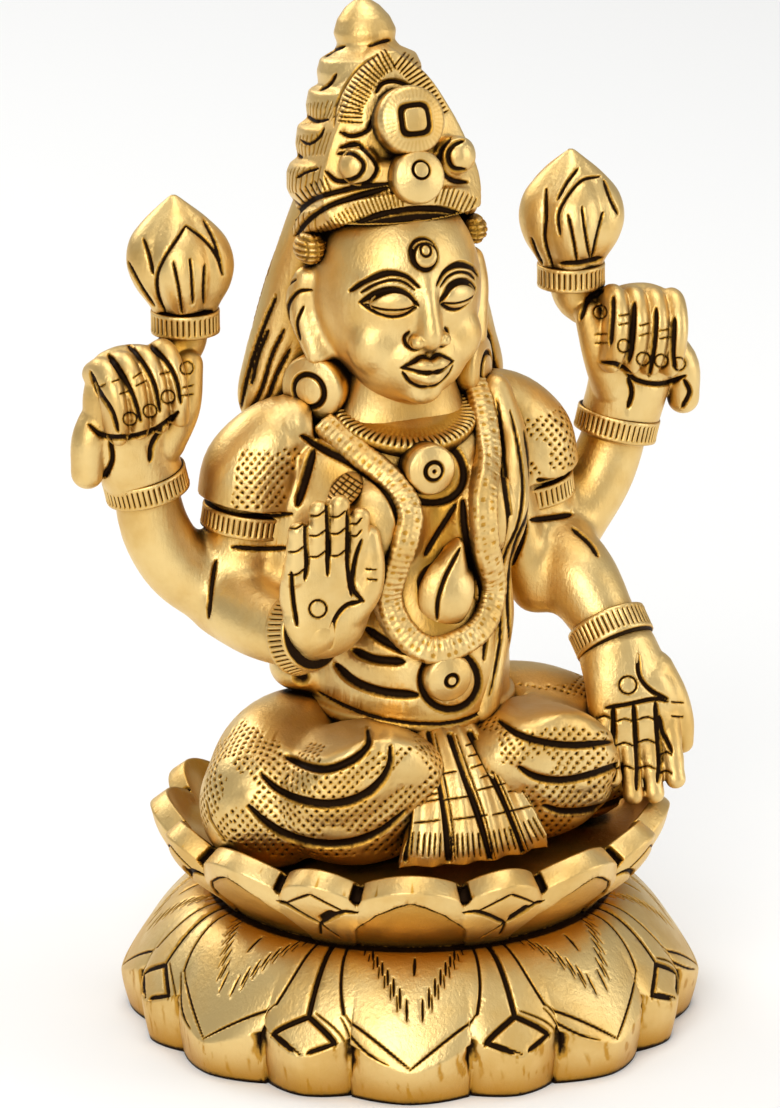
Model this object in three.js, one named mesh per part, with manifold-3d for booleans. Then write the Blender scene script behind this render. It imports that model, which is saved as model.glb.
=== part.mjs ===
// A small cast brass figure of a seated goddess with four arms on a double lotus, in one casting.
// Millimetres, +Z up. The origin is the middle of the flat underside and the figure faces -Y.
import * as THREE from 'three';
import { mergeVertices } from 'three/addons/utils/BufferGeometryUtils.js';
import Module from 'manifold-3d';

const wasm = await Module();
wasm.setup();

// Double lotus base
const petalPairs = 8; // each pair is one broad petal and one small one
const broadShare = 0.56; // of a pair's width, taken by its broad petal
const lowerRadius = 42; // lower lotus, out to its petal tips
const lowerNotch = 2.4; // how far the rim draws in between two petals
const rimHeight = 5.2; // upright rim that the base stands on
const domeHeight = 18.8; // top of the lower lotus, at the neck
const neckRadius = 28.6;
const upperRadius = 37.6; // upper lotus, out to its petal tips
const upperNotch = 2.6;
const upperHeight = 32.6; // petal tips of the upper lotus
const notchDrop = 2.6; // how far the upper rim falls between two petals
const petalWall = 2.5; // thickness of an upper petal at its edge
const seatHeight = 27; // floor inside the upper lotus, where the figure sits
const creaseDepth = 1.8; // crease between two lower petals, at the rim
const edgeSlope = 1.9; // the cut edge of an upper petal slopes out and down by this much
const rimUndercut = 1.2; // the lower rim draws in by this much at the foot

// The figure: everything on it is a share of its height above the seat, in modules
const figureHeight = 120;
const moduleCount = 120;
const module = figureHeight / moduleCount;
const crownEdge = 94.6; // lower edge of the crown over the forehead, above the seat

const brass = { color: 0xc9a04c, roughness: 0.34, metalness: 0.95 };

// Vector at (x, y, z) modules, with z measured from the seat
const at = (x, y, z) => new THREE.Vector3(x, y, z).multiplyScalar(module);
const mirror = (side) => (stop) => [side * stop[0], ...stop.slice(1)];

// Vertices that coincide are merged and flat slivers dropped, so the skin is closed and faces out
function solidOf(geometry) {
  const plain = new THREE.BufferGeometry();
  plain.setAttribute('position', geometry.getAttribute('position').clone());
  if (geometry.index) plain.setIndex(geometry.index.clone());
  const merged = mergeVertices(plain, 1e-3);
  const points = merged.getAttribute('position').array;
  const faces = [];
  const index = merged.index.array;
  let volume = 0;
  const [a, b, c] = [new THREE.Vector3(), new THREE.Vector3(), new THREE.Vector3()];
  for (let i = 0; i < index.length; i += 3) {
    const corners = [index[i], index[i + 1], index[i + 2]];
    if (new Set(corners).size < 3) continue;
    faces.push(corners);
    a.fromArray(points, 3 * corners[0]);
    b.fromArray(points, 3 * corners[1]);
    c.fromArray(points, 3 * corners[2]);
    volume += a.dot(b.cross(c));
  }
  const outward = volume < 0 ? faces.map(([p, q, r]) => [p, r, q]) : faces;
  return new wasm.Manifold(new wasm.Mesh({
    numProp: 3,
    vertProperties: new Float32Array(points),
    triVerts: new Uint32Array(outward.flat()),
  }));
}

// A closed skin over rings of equally many points; a ring of one point is a pole
function skin(rings) {
  const points = rings.flat();
  const starts = [];
  let count = 0;
  for (const ring of rings) {
    starts.push(count);
    count += ring.length;
  }
  const faces = [];
  for (let r = 0; r + 1 < rings.length; r += 1) {
    const [low, high] = [rings[r].length, rings[r + 1].length];
    const sides = Math.max(low, high);
    for (let s = 0; s < sides; s += 1) {
      const next = (s + 1) % sides;
      const a = starts[r] + (low > 1 ? s : 0);
      const b = starts[r] + (low > 1 ? next : 0);
      const c = starts[r + 1] + (high > 1 ? next : 0);
      const d = starts[r + 1] + (high > 1 ? s : 0);
      if (low > 1) faces.push(a, b, c);
      if (high > 1) faces.push(a, c, d);
    }
  }
  const geometry = new THREE.BufferGeometry().setFromPoints(points);
  geometry.setIndex(faces);
  return solidOf(geometry);
}

function middleOf(ring) {
  const sum = ring.reduce((total, p) => total.add(p), new THREE.Vector3());
  return sum.divideScalar(ring.length);
}

// A limb through stops of [x, y, z, width, depth] modules; width and depth are half sizes, and the
// width lies along "across". Both ends are rounded unless "flat" is set.
function limb(stops, { sides = 8, steps = 2, across = [1, 0, 0], flat = false } = {}) {
  const route = new THREE.CatmullRomCurve3(stops.map(([x, y, z]) => at(x, y, z)));
  const sizes = new THREE.CatmullRomCurve3(stops.map(([, , , w, d = w]) => at(w, d, 0)));
  const total = (stops.length - 1) * steps;
  const rings = [];
  const section = (t, slide, shrink) => {
    const axis = route.getTangent(t);
    const u = new THREE.Vector3(...across);
    u.addScaledVector(axis, -u.dot(axis)).normalize();
    const v = new THREE.Vector3().crossVectors(axis, u);
    const size = sizes.getPoint(t);
    const centre = route.getPoint(t).addScaledVector(axis, slide * Math.min(size.x, size.y));
    if (shrink === 0) return [centre];
    return Array.from({ length: sides }, (_, s) => {
      const angle = (2 * Math.PI * (s + 0.5)) / sides;
      const point = centre.clone().addScaledVector(u, Math.cos(angle) * size.x * shrink);
      return point.addScaledVector(v, Math.sin(angle) * size.y * shrink);
    });
  };
  if (!flat) rings.push(section(0, -1, 0), section(0, -0.7, 0.7));
  for (let i = 0; i <= total; i += 1) rings.push(section(i / total, 0, 1));
  if (!flat) rings.push(section(1, 0.7, 0.7), section(1, 1, 0));
  if (flat) {
    rings.unshift([middleOf(rings[0])]);
    rings.push([middleOf(rings[rings.length - 1])]);
  }
  return skin(rings);
}

// An egg with half sizes in modules, turned by Euler angles
function egg(centre, half, { turn = [0, 0, 0], around = 9, rows = 6 } = {}) {
  const geometry = new THREE.SphereGeometry(1, around, rows);
  geometry.rotateX(Math.PI / 2);
  const spin = new THREE.Quaternion().setFromEuler(new THREE.Euler(...turn));
  geometry.applyMatrix4(new THREE.Matrix4().compose(at(...centre), spin, at(...half)));
  return solidOf(geometry);
}

// A turned body: profile of [radius, height] modules, from axis to axis, stood on "axis" at a place
function turned(profile, place, axis, sides = 10) {
  const outline = profile.map(([r, h]) => new THREE.Vector2(r, h).multiplyScalar(module));
  const geometry = new THREE.LatheGeometry(outline, sides);
  const up = new THREE.Vector3(...axis).normalize();
  const spin = new THREE.Quaternion().setFromUnitVectors(new THREE.Vector3(0, 1, 0), up);
  geometry.applyMatrix4(new THREE.Matrix4().compose(at(...place), spin, new THREE.Vector3(1, 1, 1)));
  return solidOf(geometry);
}

// A round jewel or disc ornament: rim, dished ring and raised boss, let into what carries it
const jewelRoot = 4.5; // in modules

function jewel(place, axis, radius, height, sides = 10) {
  return turned([
    [0, -jewelRoot],
    [radius, -jewelRoot],
    [radius, 0.6 * height],
    [0.84 * radius, height],
    [0.5 * radius, 0.7 * height],
    [0.36 * radius, 1.2 * height],
    [0, 1.25 * height],
  ], place, axis, sides);
}

// An oval plate or ring body: ovals of [height, half width, half depth, y] modules stacked along "axis"
function stack(ovals, place, axis, sides = 12) {
  const up = new THREE.Vector3(...axis).normalize();
  const spin = new THREE.Quaternion().setFromUnitVectors(new THREE.Vector3(0, 0, 1), up);
  const rings = ovals.map(([height, width, depth, shift = 0]) => Array.from({ length: sides }, (_, s) => {
    const angle = (2 * Math.PI * (s + 0.5)) / sides;
    const local = at(Math.cos(angle) * width, Math.sin(angle) * depth + shift, height);
    return local.applyQuaternion(spin).add(at(...place));
  }));
  return skin([[middleOf(rings[0])], ...rings, [middleOf(rings[rings.length - 1])]]);
}

// Four fingers side by side in one skin. Rows of [x, y, z, half width, half depth] modules run from the
// knuckles to the tips, "out" points away from the palm side, and each finger ends at its own length.
// "root" is how far they reach back, over their half depth.
function fingers(rows, across, out, lengths, root = 1) {
  const count = lengths.length;
  const u = new THREE.Vector3(...across).normalize();
  const v = new THREE.Vector3(...out).normalize();
  const ends = rows.map(([x, y, z]) => at(x, y, z));
  const along = ends[ends.length - 1].clone().sub(ends[ends.length - 2]).normalize();
  const rings = rows.map(([x, y, z, width, depth], r) => {
    const last = r === rows.length - 1;
    const front = Array.from({ length: 2 * count + 1 }, (_, i) => {
      const ridge = i % 2 === 1;
      const point = at(x, y, z).addScaledVector(u, module * width * (i / count - 1));
      point.addScaledVector(v, module * (ridge ? depth : 0.3 * depth));
      if (last && ridge) point.addScaledVector(along, module * lengths[(i - 1) / 2]);
      return point;
    });
    const back = [0.9, 0, -0.9].map((share) => at(x, y, z)
      .addScaledVector(u, module * width * share)
      .addScaledVector(v, -module * depth * root));
    return [...front, ...back];
  });
  return skin([[middleOf(rings[0])], ...rings, [middleOf(rings[rings.length - 1])]]);
}

function joined(solids) {
  return solids.reduce((whole, next) => whole.add(next));
}

// The joins leave short edges and thin triangles where two skins cross. Here short edges are closed up and
// the long side of each thin triangle is turned, until every face is sound.
class Facets {
  constructor(points, faces) {
    this.points = points;
    this.faces = faces;
    this.around = points.map(() => new Set());
    faces.forEach((face, i) => face.forEach((corner) => this.around[corner].add(i)));
  }

  neighbours(corner) {
    const near = new Set();
    for (const i of this.around[corner]) this.faces[i].forEach((other) => near.add(other));
    near.delete(corner);
    return near;
  }

  normal([a, b, c], moved = new Map()) {
    const [p, q, r] = [a, b, c].map((i) => moved.get(i) ?? this.points[i]);
    return new THREE.Vector3().crossVectors(q.clone().sub(p), r.clone().sub(p));
  }

  // Height of a triangle over its longest side, with that side's two corners and the third one
  thinness(face, moved = new Map()) {
    const at3 = face.map((i) => moved.get(i) ?? this.points[i]);
    const sides = [0, 1, 2].map((k) => at3[k].distanceTo(at3[(k + 1) % 3]));
    const longest = sides.indexOf(Math.max(...sides));
    const height = this.normal(face, moved).length() / Math.max(sides[longest], 1e-9);
    return { height, side: [face[longest], face[(longest + 1) % 3]], third: face[(longest + 2) % 3] };
  }

  replaceFace(i, face) {
    this.faces[i].forEach((corner) => this.around[corner].delete(i));
    this.faces[i] = face;
    if (face) face.forEach((corner) => this.around[corner].add(i));
  }

  // Draws the two ends of an edge together, unless that would fold a face over
  close(a, b, thin) {
    const shared = [...this.around[a]].filter((i) => this.around[b].has(i));
    const near = this.neighbours(b);
    const common = [...this.neighbours(a)].filter((corner) => near.has(corner));
    if (shared.length !== 2 || common.length !== 2) return false;
    const middle = this.points[a].clone().lerp(this.points[b], 0.5);
    const moved = new Map([[a, middle], [b, middle]]);
    const kept = [...this.around[a], ...this.around[b]].filter((i) => !shared.includes(i));
    for (const i of kept) {
      const before = this.normal(this.faces[i]).normalize();
      const after = this.normal(this.faces[i], moved).normalize();
      const wasThin = this.thinness(this.faces[i]).height < thin;
      if (!wasThin && before.dot(after) < 0.5) return false;
      if (!wasThin && this.thinness(this.faces[i], moved).height < thin) return false;
    }
    this.points[a] = middle;
    shared.forEach((i) => this.replaceFace(i, null));
    for (const i of [...this.around[b]]) {
      this.replaceFace(i, this.faces[i].map((corner) => (corner === b ? a : corner)));
    }
    return true;
  }

  // Turns the longest side of a thin triangle, so that it runs from the third corner instead
  turn(i, thin) {
    const { height, side: [a, b], third } = this.thinness(this.faces[i]);
    if (height >= thin) return false;
    const j = [...this.around[a]].find((f) => f !== i && this.around[b].has(f));
    const far = this.faces[j].find((corner) => corner !== a && corner !== b);
    if (far === third || this.neighbours(third).has(far)) return false;
    const made = [[a, far, third], [far, b, third]];
    const guide = this.normal(this.faces[j]);
    if (made.some((face) => this.normal(face).dot(guide) <= 0)) return false;
    if (Math.min(...made.map((face) => this.thinness(face).height)) <= height) return false;
    this.replaceFace(i, made[0]);
    this.replaceFace(j, made[1]);
    return true;
  }

  tidy(shortest, thin) {
    for (let round = 0; round < 12; round += 1) {
      let changes = 0;
      const edges = [];
      this.faces.forEach((face) => face?.forEach((a, k) => {
        const b = face[(k + 1) % 3];
        const length = this.points[a].distanceTo(this.points[b]);
        if (a < b && length < shortest) edges.push([length, a, b]);
      }));
      edges.sort((p, q) => p[0] - q[0]);
      for (const [, a, b] of edges) {
        const stillThere = [...this.around[a]].some((i) => this.around[b].has(i));
        if (stillThere && this.points[a].distanceTo(this.points[b]) < shortest && this.close(a, b, thin)) {
          changes += 1;
        }
      }
      for (let i = 0; i < this.faces.length; i += 1) {
        if (this.faces[i] && this.turn(i, thin)) changes += 1;
      }
      if (changes === 0) break;
    }
    return this;
  }

  geometry() {
    const geometry = new THREE.BufferGeometry().setFromPoints(this.points);
    geometry.setIndex(this.faces.filter(Boolean).flat());
    return geometry;
  }
}

// Both lotus layers in one skin of rings that run from the underside, up and over, to the seat floor
function lotus() {
  const petals = 2 * petalPairs;
  const perPetal = 4;
  const pairAngle = (2 * Math.PI) / petalPairs;
  const bowlFoot = domeHeight + 1.2;
  const smallInset = 0.5; // the small petals fall this much short of the broad ones
  // a ring whose points are placed by their share of the way from a petal's middle to its side
  const ring = (place) => Array.from({ length: petals * perPetal }, (_, c) => {
    const petal = Math.round(c / perPetal);
    const isSmall = petal % 2 === 0;
    const share = (2 * (c - petal * perPetal)) / perPetal;
    const halfWidth = 0.5 * pairAngle * (isSmall ? 1 - broadShare : broadShare);
    const angle = (petal * pairAngle) / 2 + share * halfWidth - Math.PI / 2;
    const [r, z] = place(Math.abs(share), isSmall ? smallInset : 0);
    return new THREE.Vector3(r * Math.cos(angle), r * Math.sin(angle), z);
  });
  const round = (radius, height) => ring(() => [radius, height]);
  const lowerEdge = (share, inset) => lowerRadius - lowerNotch * share ** 1.6 - inset;
  const domeAt = (radius) => {
    const inward = (lowerRadius - radius) / (lowerRadius - neckRadius);
    return rimHeight + (domeHeight - rimHeight) * Math.sin(inward * Math.PI * 0.5) ** 0.9;
  };
  const dome = (rise) => ring((share, inset) => {
    const r = THREE.MathUtils.lerp(lowerEdge(share, inset), neckRadius, rise);
    return [r, domeAt(r) - creaseDepth * (1 - rise) * share ** 2];
  });
  const upperEdge = (inward, height) => ring((share) => [
    upperRadius - inward - upperNotch * share ** 1.5,
    height - notchDrop * share ** 1.5,
  ]);
  const bowlMiddle = THREE.MathUtils.lerp(neckRadius, upperRadius, 0.6);
  return skin([
    [new THREE.Vector3(0, 0, 0)],
    ring((share, inset) => [lowerEdge(share, inset) - rimUndercut, 0]),
    dome(0),
    dome(0.18),
    dome(0.55),
    round(neckRadius, domeHeight),
    round(neckRadius + 0.6, bowlFoot),
    ring((share) => [bowlMiddle - 0.6 * share ** 3, bowlFoot + 4]),
    upperEdge(0, upperHeight - edgeSlope),
    upperEdge(petalWall, upperHeight),
    ring((share) => [upperRadius - petalWall - 3 - 0.6 * share ** 2, seatHeight]),
    [new THREE.Vector3(0, 0, seatHeight)],
  ]);
}

// Folded legs in a skirt; over each shin the cloth hangs in round folds, one inside another
function legs() {
  const solids = [];
  // each fold as [reach to the front, half width, half height]; they share their upper edge
  const folds = [
    [-4, 12, 9.8], [3, 13.2, 10.4], [7, 12, 9.4], [6.4, 11, 8.6], [8.8, 10, 7.4], [9.8, 9.2, 6.4],
    [9.2, 8.6, 5.8], [10.8, 7.4, 4.8], [11.2, 5.8, 3.4], [10.7, 5.3, 3], [11.8, 3.4, 1.8],
  ];
  const topEdge = 1.5;
  for (const side of [-1, 1]) {
    // thigh out to the knee
    solids.push(limb([
      [8, 8, 9, 11, 11],
      [18, 1, 10.8, 11.5, 12],
      [24.6, -5, side > 0 ? 10.4 : 9, 9.8, 10.8],
    ].map(mirror(side)), { sides: 12, steps: 1 }));
    const ovals = folds.map(([reach, width, height]) => [reach, width, height, topEdge - height]);
    solids.push(stack(ovals, [13.6 * side, -11, 20], [0.1 * side, -1, 0.12], 14));
  }
  // lap between the thighs, down to the seat
  solids.push(egg([0, 2, 6], [22, 18, 9], { around: 12 }));
  return solids;
}

// Pleated fall of the skirt between the legs: pleats that widen to a toothed hem
function pleats() {
  const count = 5;
  const rows = [
    [21.5, -12.5, 5.6],
    [17, -20.2, 7.2],
    [11.5, -24.4, 9],
    [5.6, -26.6, 11.2],
    [3.4, -25.6, 11.6],
  ];
  const depth = 6;
  const crest = 1.1;
  const rings = rows.map(([z, y, half]) => {
    const front = Array.from({ length: 2 * count + 1 }, (_, i) => {
      const share = i / count - 1;
      return at(half * share, y + 2.6 * share * share + (i % 2 ? 0 : crest), z);
    });
    const back = [1, 0, -1].map((share) => at(0.9 * half * share, y + depth, z));
    return [...front, ...back];
  });
  return skin([[middleOf(rings[0])], ...rings, [middleOf(rings[rings.length - 1])]]);
}

// Trunk from the hips to the neck, with a belt round the waist, breasts and a full belly
function trunk() {
  return [
    limb([
      [0, 3, 5, 20, 13.5],
      [0, 1, 14, 16.5, 14],
      [0, -0.4, 19.4, 14.4, 13.6],
      [0, -0.4, 19.5, 15.2, 14.3],
      [0, -0.4, 21.8, 15.2, 14.3],
      [0, -0.4, 21.9, 14.2, 13.8],
      [0, -0.5, 28, 14, 14.8],
      [0, 0.4, 36, 13, 12.8],
      [0, 1.5, 44, 14, 10.6],
      [0, 2.2, 52, 16.4, 10.4],
      [0, 4.5, 58, 17, 8.8],
      [0, 5, 62, 11, 7.4],
      [0, 5, 70, 7, 7],
    ], { sides: 14, steps: 1, flat: true }),
    egg([-8, -6.6, 49], [7, 6.4, 7]),
    egg([8, -6.6, 49], [7, 6.4, 7]),
    // roll of the waist cloth at the right hip
    egg([-15, 5, 25], [4.6, 6, 3.4], { around: 8, rows: 5 }),
    // the upper arms are cast against the sides
    limb([
      [-16.4, 4, 51, 3.2, 4.5],
      [-17.4, 4, 44, 3.4, 4.5],
      [-18.6, 3.4, 39, 3.2, 4.2],
    ], { sides: 6, steps: 1 }),
    limb([
      [16.8, 4, 48, 3.2, 4.5],
      [18, 3, 40, 4.2, 4.5],
      [20.4, 1.5, 33.6, 4, 4.2],
    ], { sides: 6, steps: 1 }),
  ];
}

// Garland, scarf, collar, leaf pendant and the two medallions on the front of the trunk
function ornaments() {
  const garland = [
    [-12, 3, 62], [-8.8, -3.6, 58.6], [-5.6, -8, 55.2], [-4.9, -11.4, 52], [-6.1, -12.8, 48.6],
    [-7.4, -11.8, 43.6], [-7.8, -10.8, 39.2], [-6.4, -12.4, 34.9], [-3.4, -14.4, 32.3], [0.3, -14.9, 32.4],
    [5.6, -13, 34.2], [8.4, -10.6, 38.4], [6.5, -12.6, 46.2], [6.4, -12, 52.6], [9.8, -5.4, 57.2],
    [11.2, 0.4, 62.4], [11.6, 4, 65],
  ];
  const scarf = [
    [14.6, 3, 63], [15, -2, 57], [13.2, -6.8, 53.2], [11.5, -10, 49], [9.8, -8.2, 42.2], [10, -8.6, 33.2],
    [7.4, -11.2, 25.6], [6.2, -12, 20.6],
  ];
  const letIn = 1.3; // both strands are this much deeper behind, so that no gap is left
  return [
    limb(garland.map(([x, y, z]) => [x, y + letIn, z, 2 + letIn, 1.8]), {
      sides: 6, steps: 1, across: [0, -1, 0.2],
    }),
    limb(scarf.map(([x, y, z]) => [x, y + letIn, z, 2.6, 2.2 + letIn]), { sides: 6, steps: 1 }),
    stack([[-1.3, 9.6, 8.4], [-1.1, 10.6, 9.4], [1.2, 10.4, 9.2]], [0, 2.4, 62.4], [0, -0.38, 1], 16),
    egg([1, -10, 39.2], [5, 4.6, 7], { around: 8 }),
    jewel([-0.6, -8.6, 57.2], [0, -1, 0.1], 3.7, 1.5),
    jewel([-0.5, -15, 28], [0, -1, -0.1], 3.9, 1.6),
  ];
}

// The right front hand, raised with the palm to the front
function blessingHand() {
  return [
    fingers([
      [-18.4, -12.2, 41.4, 6.8, 1.8],
      [-18.4, -12.8, 47.4, 6.6, 2],
      [-18.6, -13.2, 53.4, 6.2, 1.8],
      [-18.6, -13.2, 54.8, 5.8, 1],
    ], [1, 0, 0], [0, -1, 0], [0.2, 1.8, 2, 0.4]),
    limb([
      [-12.6, -12.4, 37.4, 3],
      [-11.8, -12.8, 43.4, 2.3],
      [-11.6, -12.6, 49.4, 1.8],
    ], { sides: 7, steps: 1 }),
    // cloth caught between the fingertips and the chest
    limb([[-16.2, -11.4, 54.4, 2, 1.3], [-11, -4.8, 55.4, 2.2, 1.6]], { sides: 7, steps: 1 }),
  ];
}

// The left front hand, held down over the knee with the palm to the front
function givingHand() {
  return [
    fingers([
      [30, -13.6, 18, 6.6, 1.8],
      [29.6, -15.2, 13, 6.4, 2],
      [29.2, -16.6, 8, 6.2, 1.8],
      [29.1, -16.9, 6.6, 5.8, 1],
    ], [-1, 0, 0], [0, -1, 0.3], [0.2, 1.8, 1.6, 0.4]),
    limb([
      [34.6, -10.8, 23.5, 2.9],
      [37, -11.8, 18.4, 2.3],
      [37.4, -12.8, 13.6, 1.9],
    ], { sides: 7, steps: 1 }),
  ];
}

// A stalk held in a raised hand, with its collar and a bud of five petals drawn to a point
function lotusStalk(side) {
  const rows = [[4.4, 0.6], [6.6, 4], [7.5, 7.6], [6.9, 10.6], [4.6, 13.6], [1.8, 15.8]];
  const height = 16.8;
  const petals = 5;
  const [x, y, z] = [29.9 * side, 11.6, 78.4];
  const [leanX, leanY] = [0.05 * side, 0.12];
  const rings = rows.map(([radius, lift]) => Array.from({ length: 2 * petals }, (_, s) => {
    const angle = (Math.PI * (s + 0.5)) / petals;
    const r = radius * (s % 2 ? 0.88 : 1.04);
    return at(x + Math.cos(angle) * r + leanX * lift, y + Math.sin(angle) * r + leanY * lift, z + lift);
  }));
  const tip = at(x + leanX * height, y + leanY * height, z + height);
  return [
    limb([
      [46.6, 8, 57.4, 2.4],
      [45.8, 8, 63, 2.7],
      [39, 10.4, 69, 3],
      [30.6, 11, 73.6, 3.3],
      [30, 11.4, 75.2, 3.6],
      [29.9, 11.4, 75.4, 5],
      [29.9, 11.5, 78.8, 5],
      [29.9, 11.5, 79, 4],
    ].map(mirror(side)), { sides: 8, steps: 1 }),
    skin([[middleOf(rings[0])], ...rings, [tip]]),
  ];
}

// Sleeves, armlets, both pairs of forearms with their bangles, and the raised hands
function arms() {
  const solids = [];
  for (const side of [-1, 1]) {
    const flip = mirror(side);
    // sleeve, armlet and elbow
    const hem = side < 0 ? 50.2 : 49.6;
    const armlet = hem - 1;
    solids.push(limb([
      [13, 6, 60, 4, 5],
      [17.4, 7, 59.6, 5.4, 6],
      [20.6, 8, 55, 7.4],
      [21.6, 8, hem, 7.6],
      [21.6, 8, hem - 0.1, 5.9],
      [21.8, 8, armlet + 0.1, 5.9],
      [21.8, 8, armlet, 6.5],
      [22.3, 8, armlet - 3.2, 6.5],
      [22.3, 8, armlet - 3.3, 6],
      [25.6, 7.4, 36, 6.3],
    ].map(flip), { sides: 10, steps: 1 }));
    // raised forearm, bangle and palm; the right fist stands a little further out
    const out = side < 0 ? 1.5 : 0;
    const tuck = side < 0 ? 0 : 1.2; // the left forearm rises straighter
    solids.push(limb([
      [25.6, 7.6, 36.8, 5.4, 5.6],
      [31.4 - 2 * tuck, 9, 40.6, 5.3, 5.5],
      [35.2 - tuck, 10, 46.8, 5.1, 5.2],
      [36.3, 10, 52.4, 5, 5],
      [36.3, 10, 52.5, 6.2, 6.2],
      [37.1, 10, 55.8, 6.2, 6.2],
      [37.1, 10, 55.9, 5.7, 5.4],
      [38 + out, 8.4, 62, 6.8, 5],
      [38.4 + out, 8, 71, 7.2, 4.4],
      [38.4 + out, 8, 73.4, 6, 3],
    ].map(flip), { sides: 10, steps: 1 }));
    solids.push(fingers([
      [38.8 + out, 6.2, 75.6, 6.2, 1.8],
      [38.6 + out, 3.4, 74, 6.4, 2.1],
      [37.6 + out, 1.8, 69, 6.4, 2],
      [37 + out, 2.4, 65.4, 6, 1.6],
    ].map(flip), [-1, 0, 0.25 * side], [0, -1, 0.1], [0.6, 0.6, 0.6, 0.6], 2));
    // thumb laid up the stalk
    solids.push(limb([
      [34.4, 6.8, 61, 2.8],
      [32, 6.4, 67, 2.5],
      [31, 7.6, 71.6, 2.1],
    ].map(flip), { sides: 7, steps: 1 }));
    solids.push(...lotusStalk(side));
  }
  // front forearms, wrists and palms: the right one bent up before the chest, the left one down
  solids.push(limb([
    [-25.6, 6, 36.4, 6],
    [-23.4, -2, 35, 5.4],
    [-21, -7.2, 34.6, 4.8],
    [-20.9, -7.3, 34.6, 6],
    [-19.6, -10, 35.4, 6, 5.4],
    [-19.5, -10.1, 35.6, 5.2, 4],
    [-18.4, -11, 39.4, 6.8, 3.4],
    [-18.2, -11.6, 45, 6.8, 2.6],
  ], { sides: 10, steps: 1 }));
  solids.push(limb([
    [24.6, 5, 38, 6],
    [26, -1.4, 35, 5.9],
    [27.8, -6, 30, 5],
    [28, -6.1, 29.9, 6],
    [28.5, -8.2, 27.4, 6],
    [28.6, -8.3, 27.2, 5.7, 4.8],
    [29.8, -11.4, 22, 6.8, 3.6],
    [29.9, -13.6, 15.6, 6.6, 2.6],
  ], { sides: 10, steps: 1 }));
  return solids;
}

// A calm idol's face on plain proportions: equal thirds from the crown's edge to the brow, the end of the
// nose and the chin
function head() {
  const chin = 65.2;
  const hairline = crownEdge / module;
  const skullTop = hairline + 1; // a little way up inside the crown
  const [width, depth, half] = [12.4, 12.2, (skullTop - chin) / 2];
  const centre = [0, 5.4, chin + half];
  const third = (hairline - chin) / 3;
  const brow = hairline - third;
  const noseEnd = brow - third;
  const eyeLine = brow - third / 3;
  const mouth = noseEnd - third / 3;
  const spot = brow + third / 3; // the mark on the forehead
  const faceAt = (x, z) => {
    const up = (z - centre[2]) / half;
    const side = x / width;
    return centre[1] - depth * Math.sqrt(1 - up * up - side * side);
  };
  const solids = [
    egg(centre, [width, depth, half], { around: 14, rows: 9 }),
    // lower face and chin
    egg([0, 1.6, chin + 6], [7.6, 8.4, 6.4], { around: 9 }),
    // nose from the brow down
    limb([
      [0, -6.2, brow - 1.6, 1, 1.2],
      [0, -7.4, noseEnd + 0.8, 2, 2.7],
    ], { sides: 6, steps: 1 }),
    // lips
    limb([[-3.2, -5.4, mouth, 1], [0, -6.8, mouth, 1.7, 1.2], [3.2, -5.4, mouth, 1]],
      { sides: 6, steps: 1, across: [0, 0, 1] }),
    turned([[0, -1.5], [1.9, -1.5], [1.9, 0.4], [0, 0.6]], [0, faceAt(0, spot), spot], [0, -1, 0.5], 8),
  ];
  for (const side of [-1, 1]) {
    solids.push(egg([5 * side, faceAt(5, eyeLine) + 0.5, eyeLine], [2.9, 1.4, 1.7], {
      turn: [0, 0, 0.36 * side],
      around: 7,
      rows: 4,
    }));
    // ear, and the disc that hangs from it before the hair
    solids.push(limb([
      [11.9, 5, noseEnd - 3, 2.5, 1.6],
      [13.3, 8.8, brow - 5.8, 2.4, 2.6],
      [12.6, 7.8, brow - 2.2, 2.2, 2],
    ].map(mirror(side)), { sides: 6, steps: 1 }));
    solids.push(turned([
      [0, -6], [2.6, -6], [4.9, -2.4], [4.9, 0.4], [4.2, 1.3], [2.4, 0.8], [1.8, 1.9], [0, 2],
    ], [12.6 * side, 5.6, chin + 1.4], [0.76 * side, -0.65, 0], 10));
  }
  return solids;
}

// Hair falling behind the ears onto the shoulders and down the back
function hair() {
  return [
    limb([
      [0, 13.4, crownEdge / module - 4.6, 13, 7],
      [0, 14.6, 80, 16.6, 7.4],
      [0, 15, 70, 19.4, 7],
      [0, 14.6, 62, 20.6, 6.4],
      [0, 13.4, 54, 15, 5.4],
      [0, 12, 46, 9, 4.6],
    ], { sides: 12, steps: 1 }),
  ];
}

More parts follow.
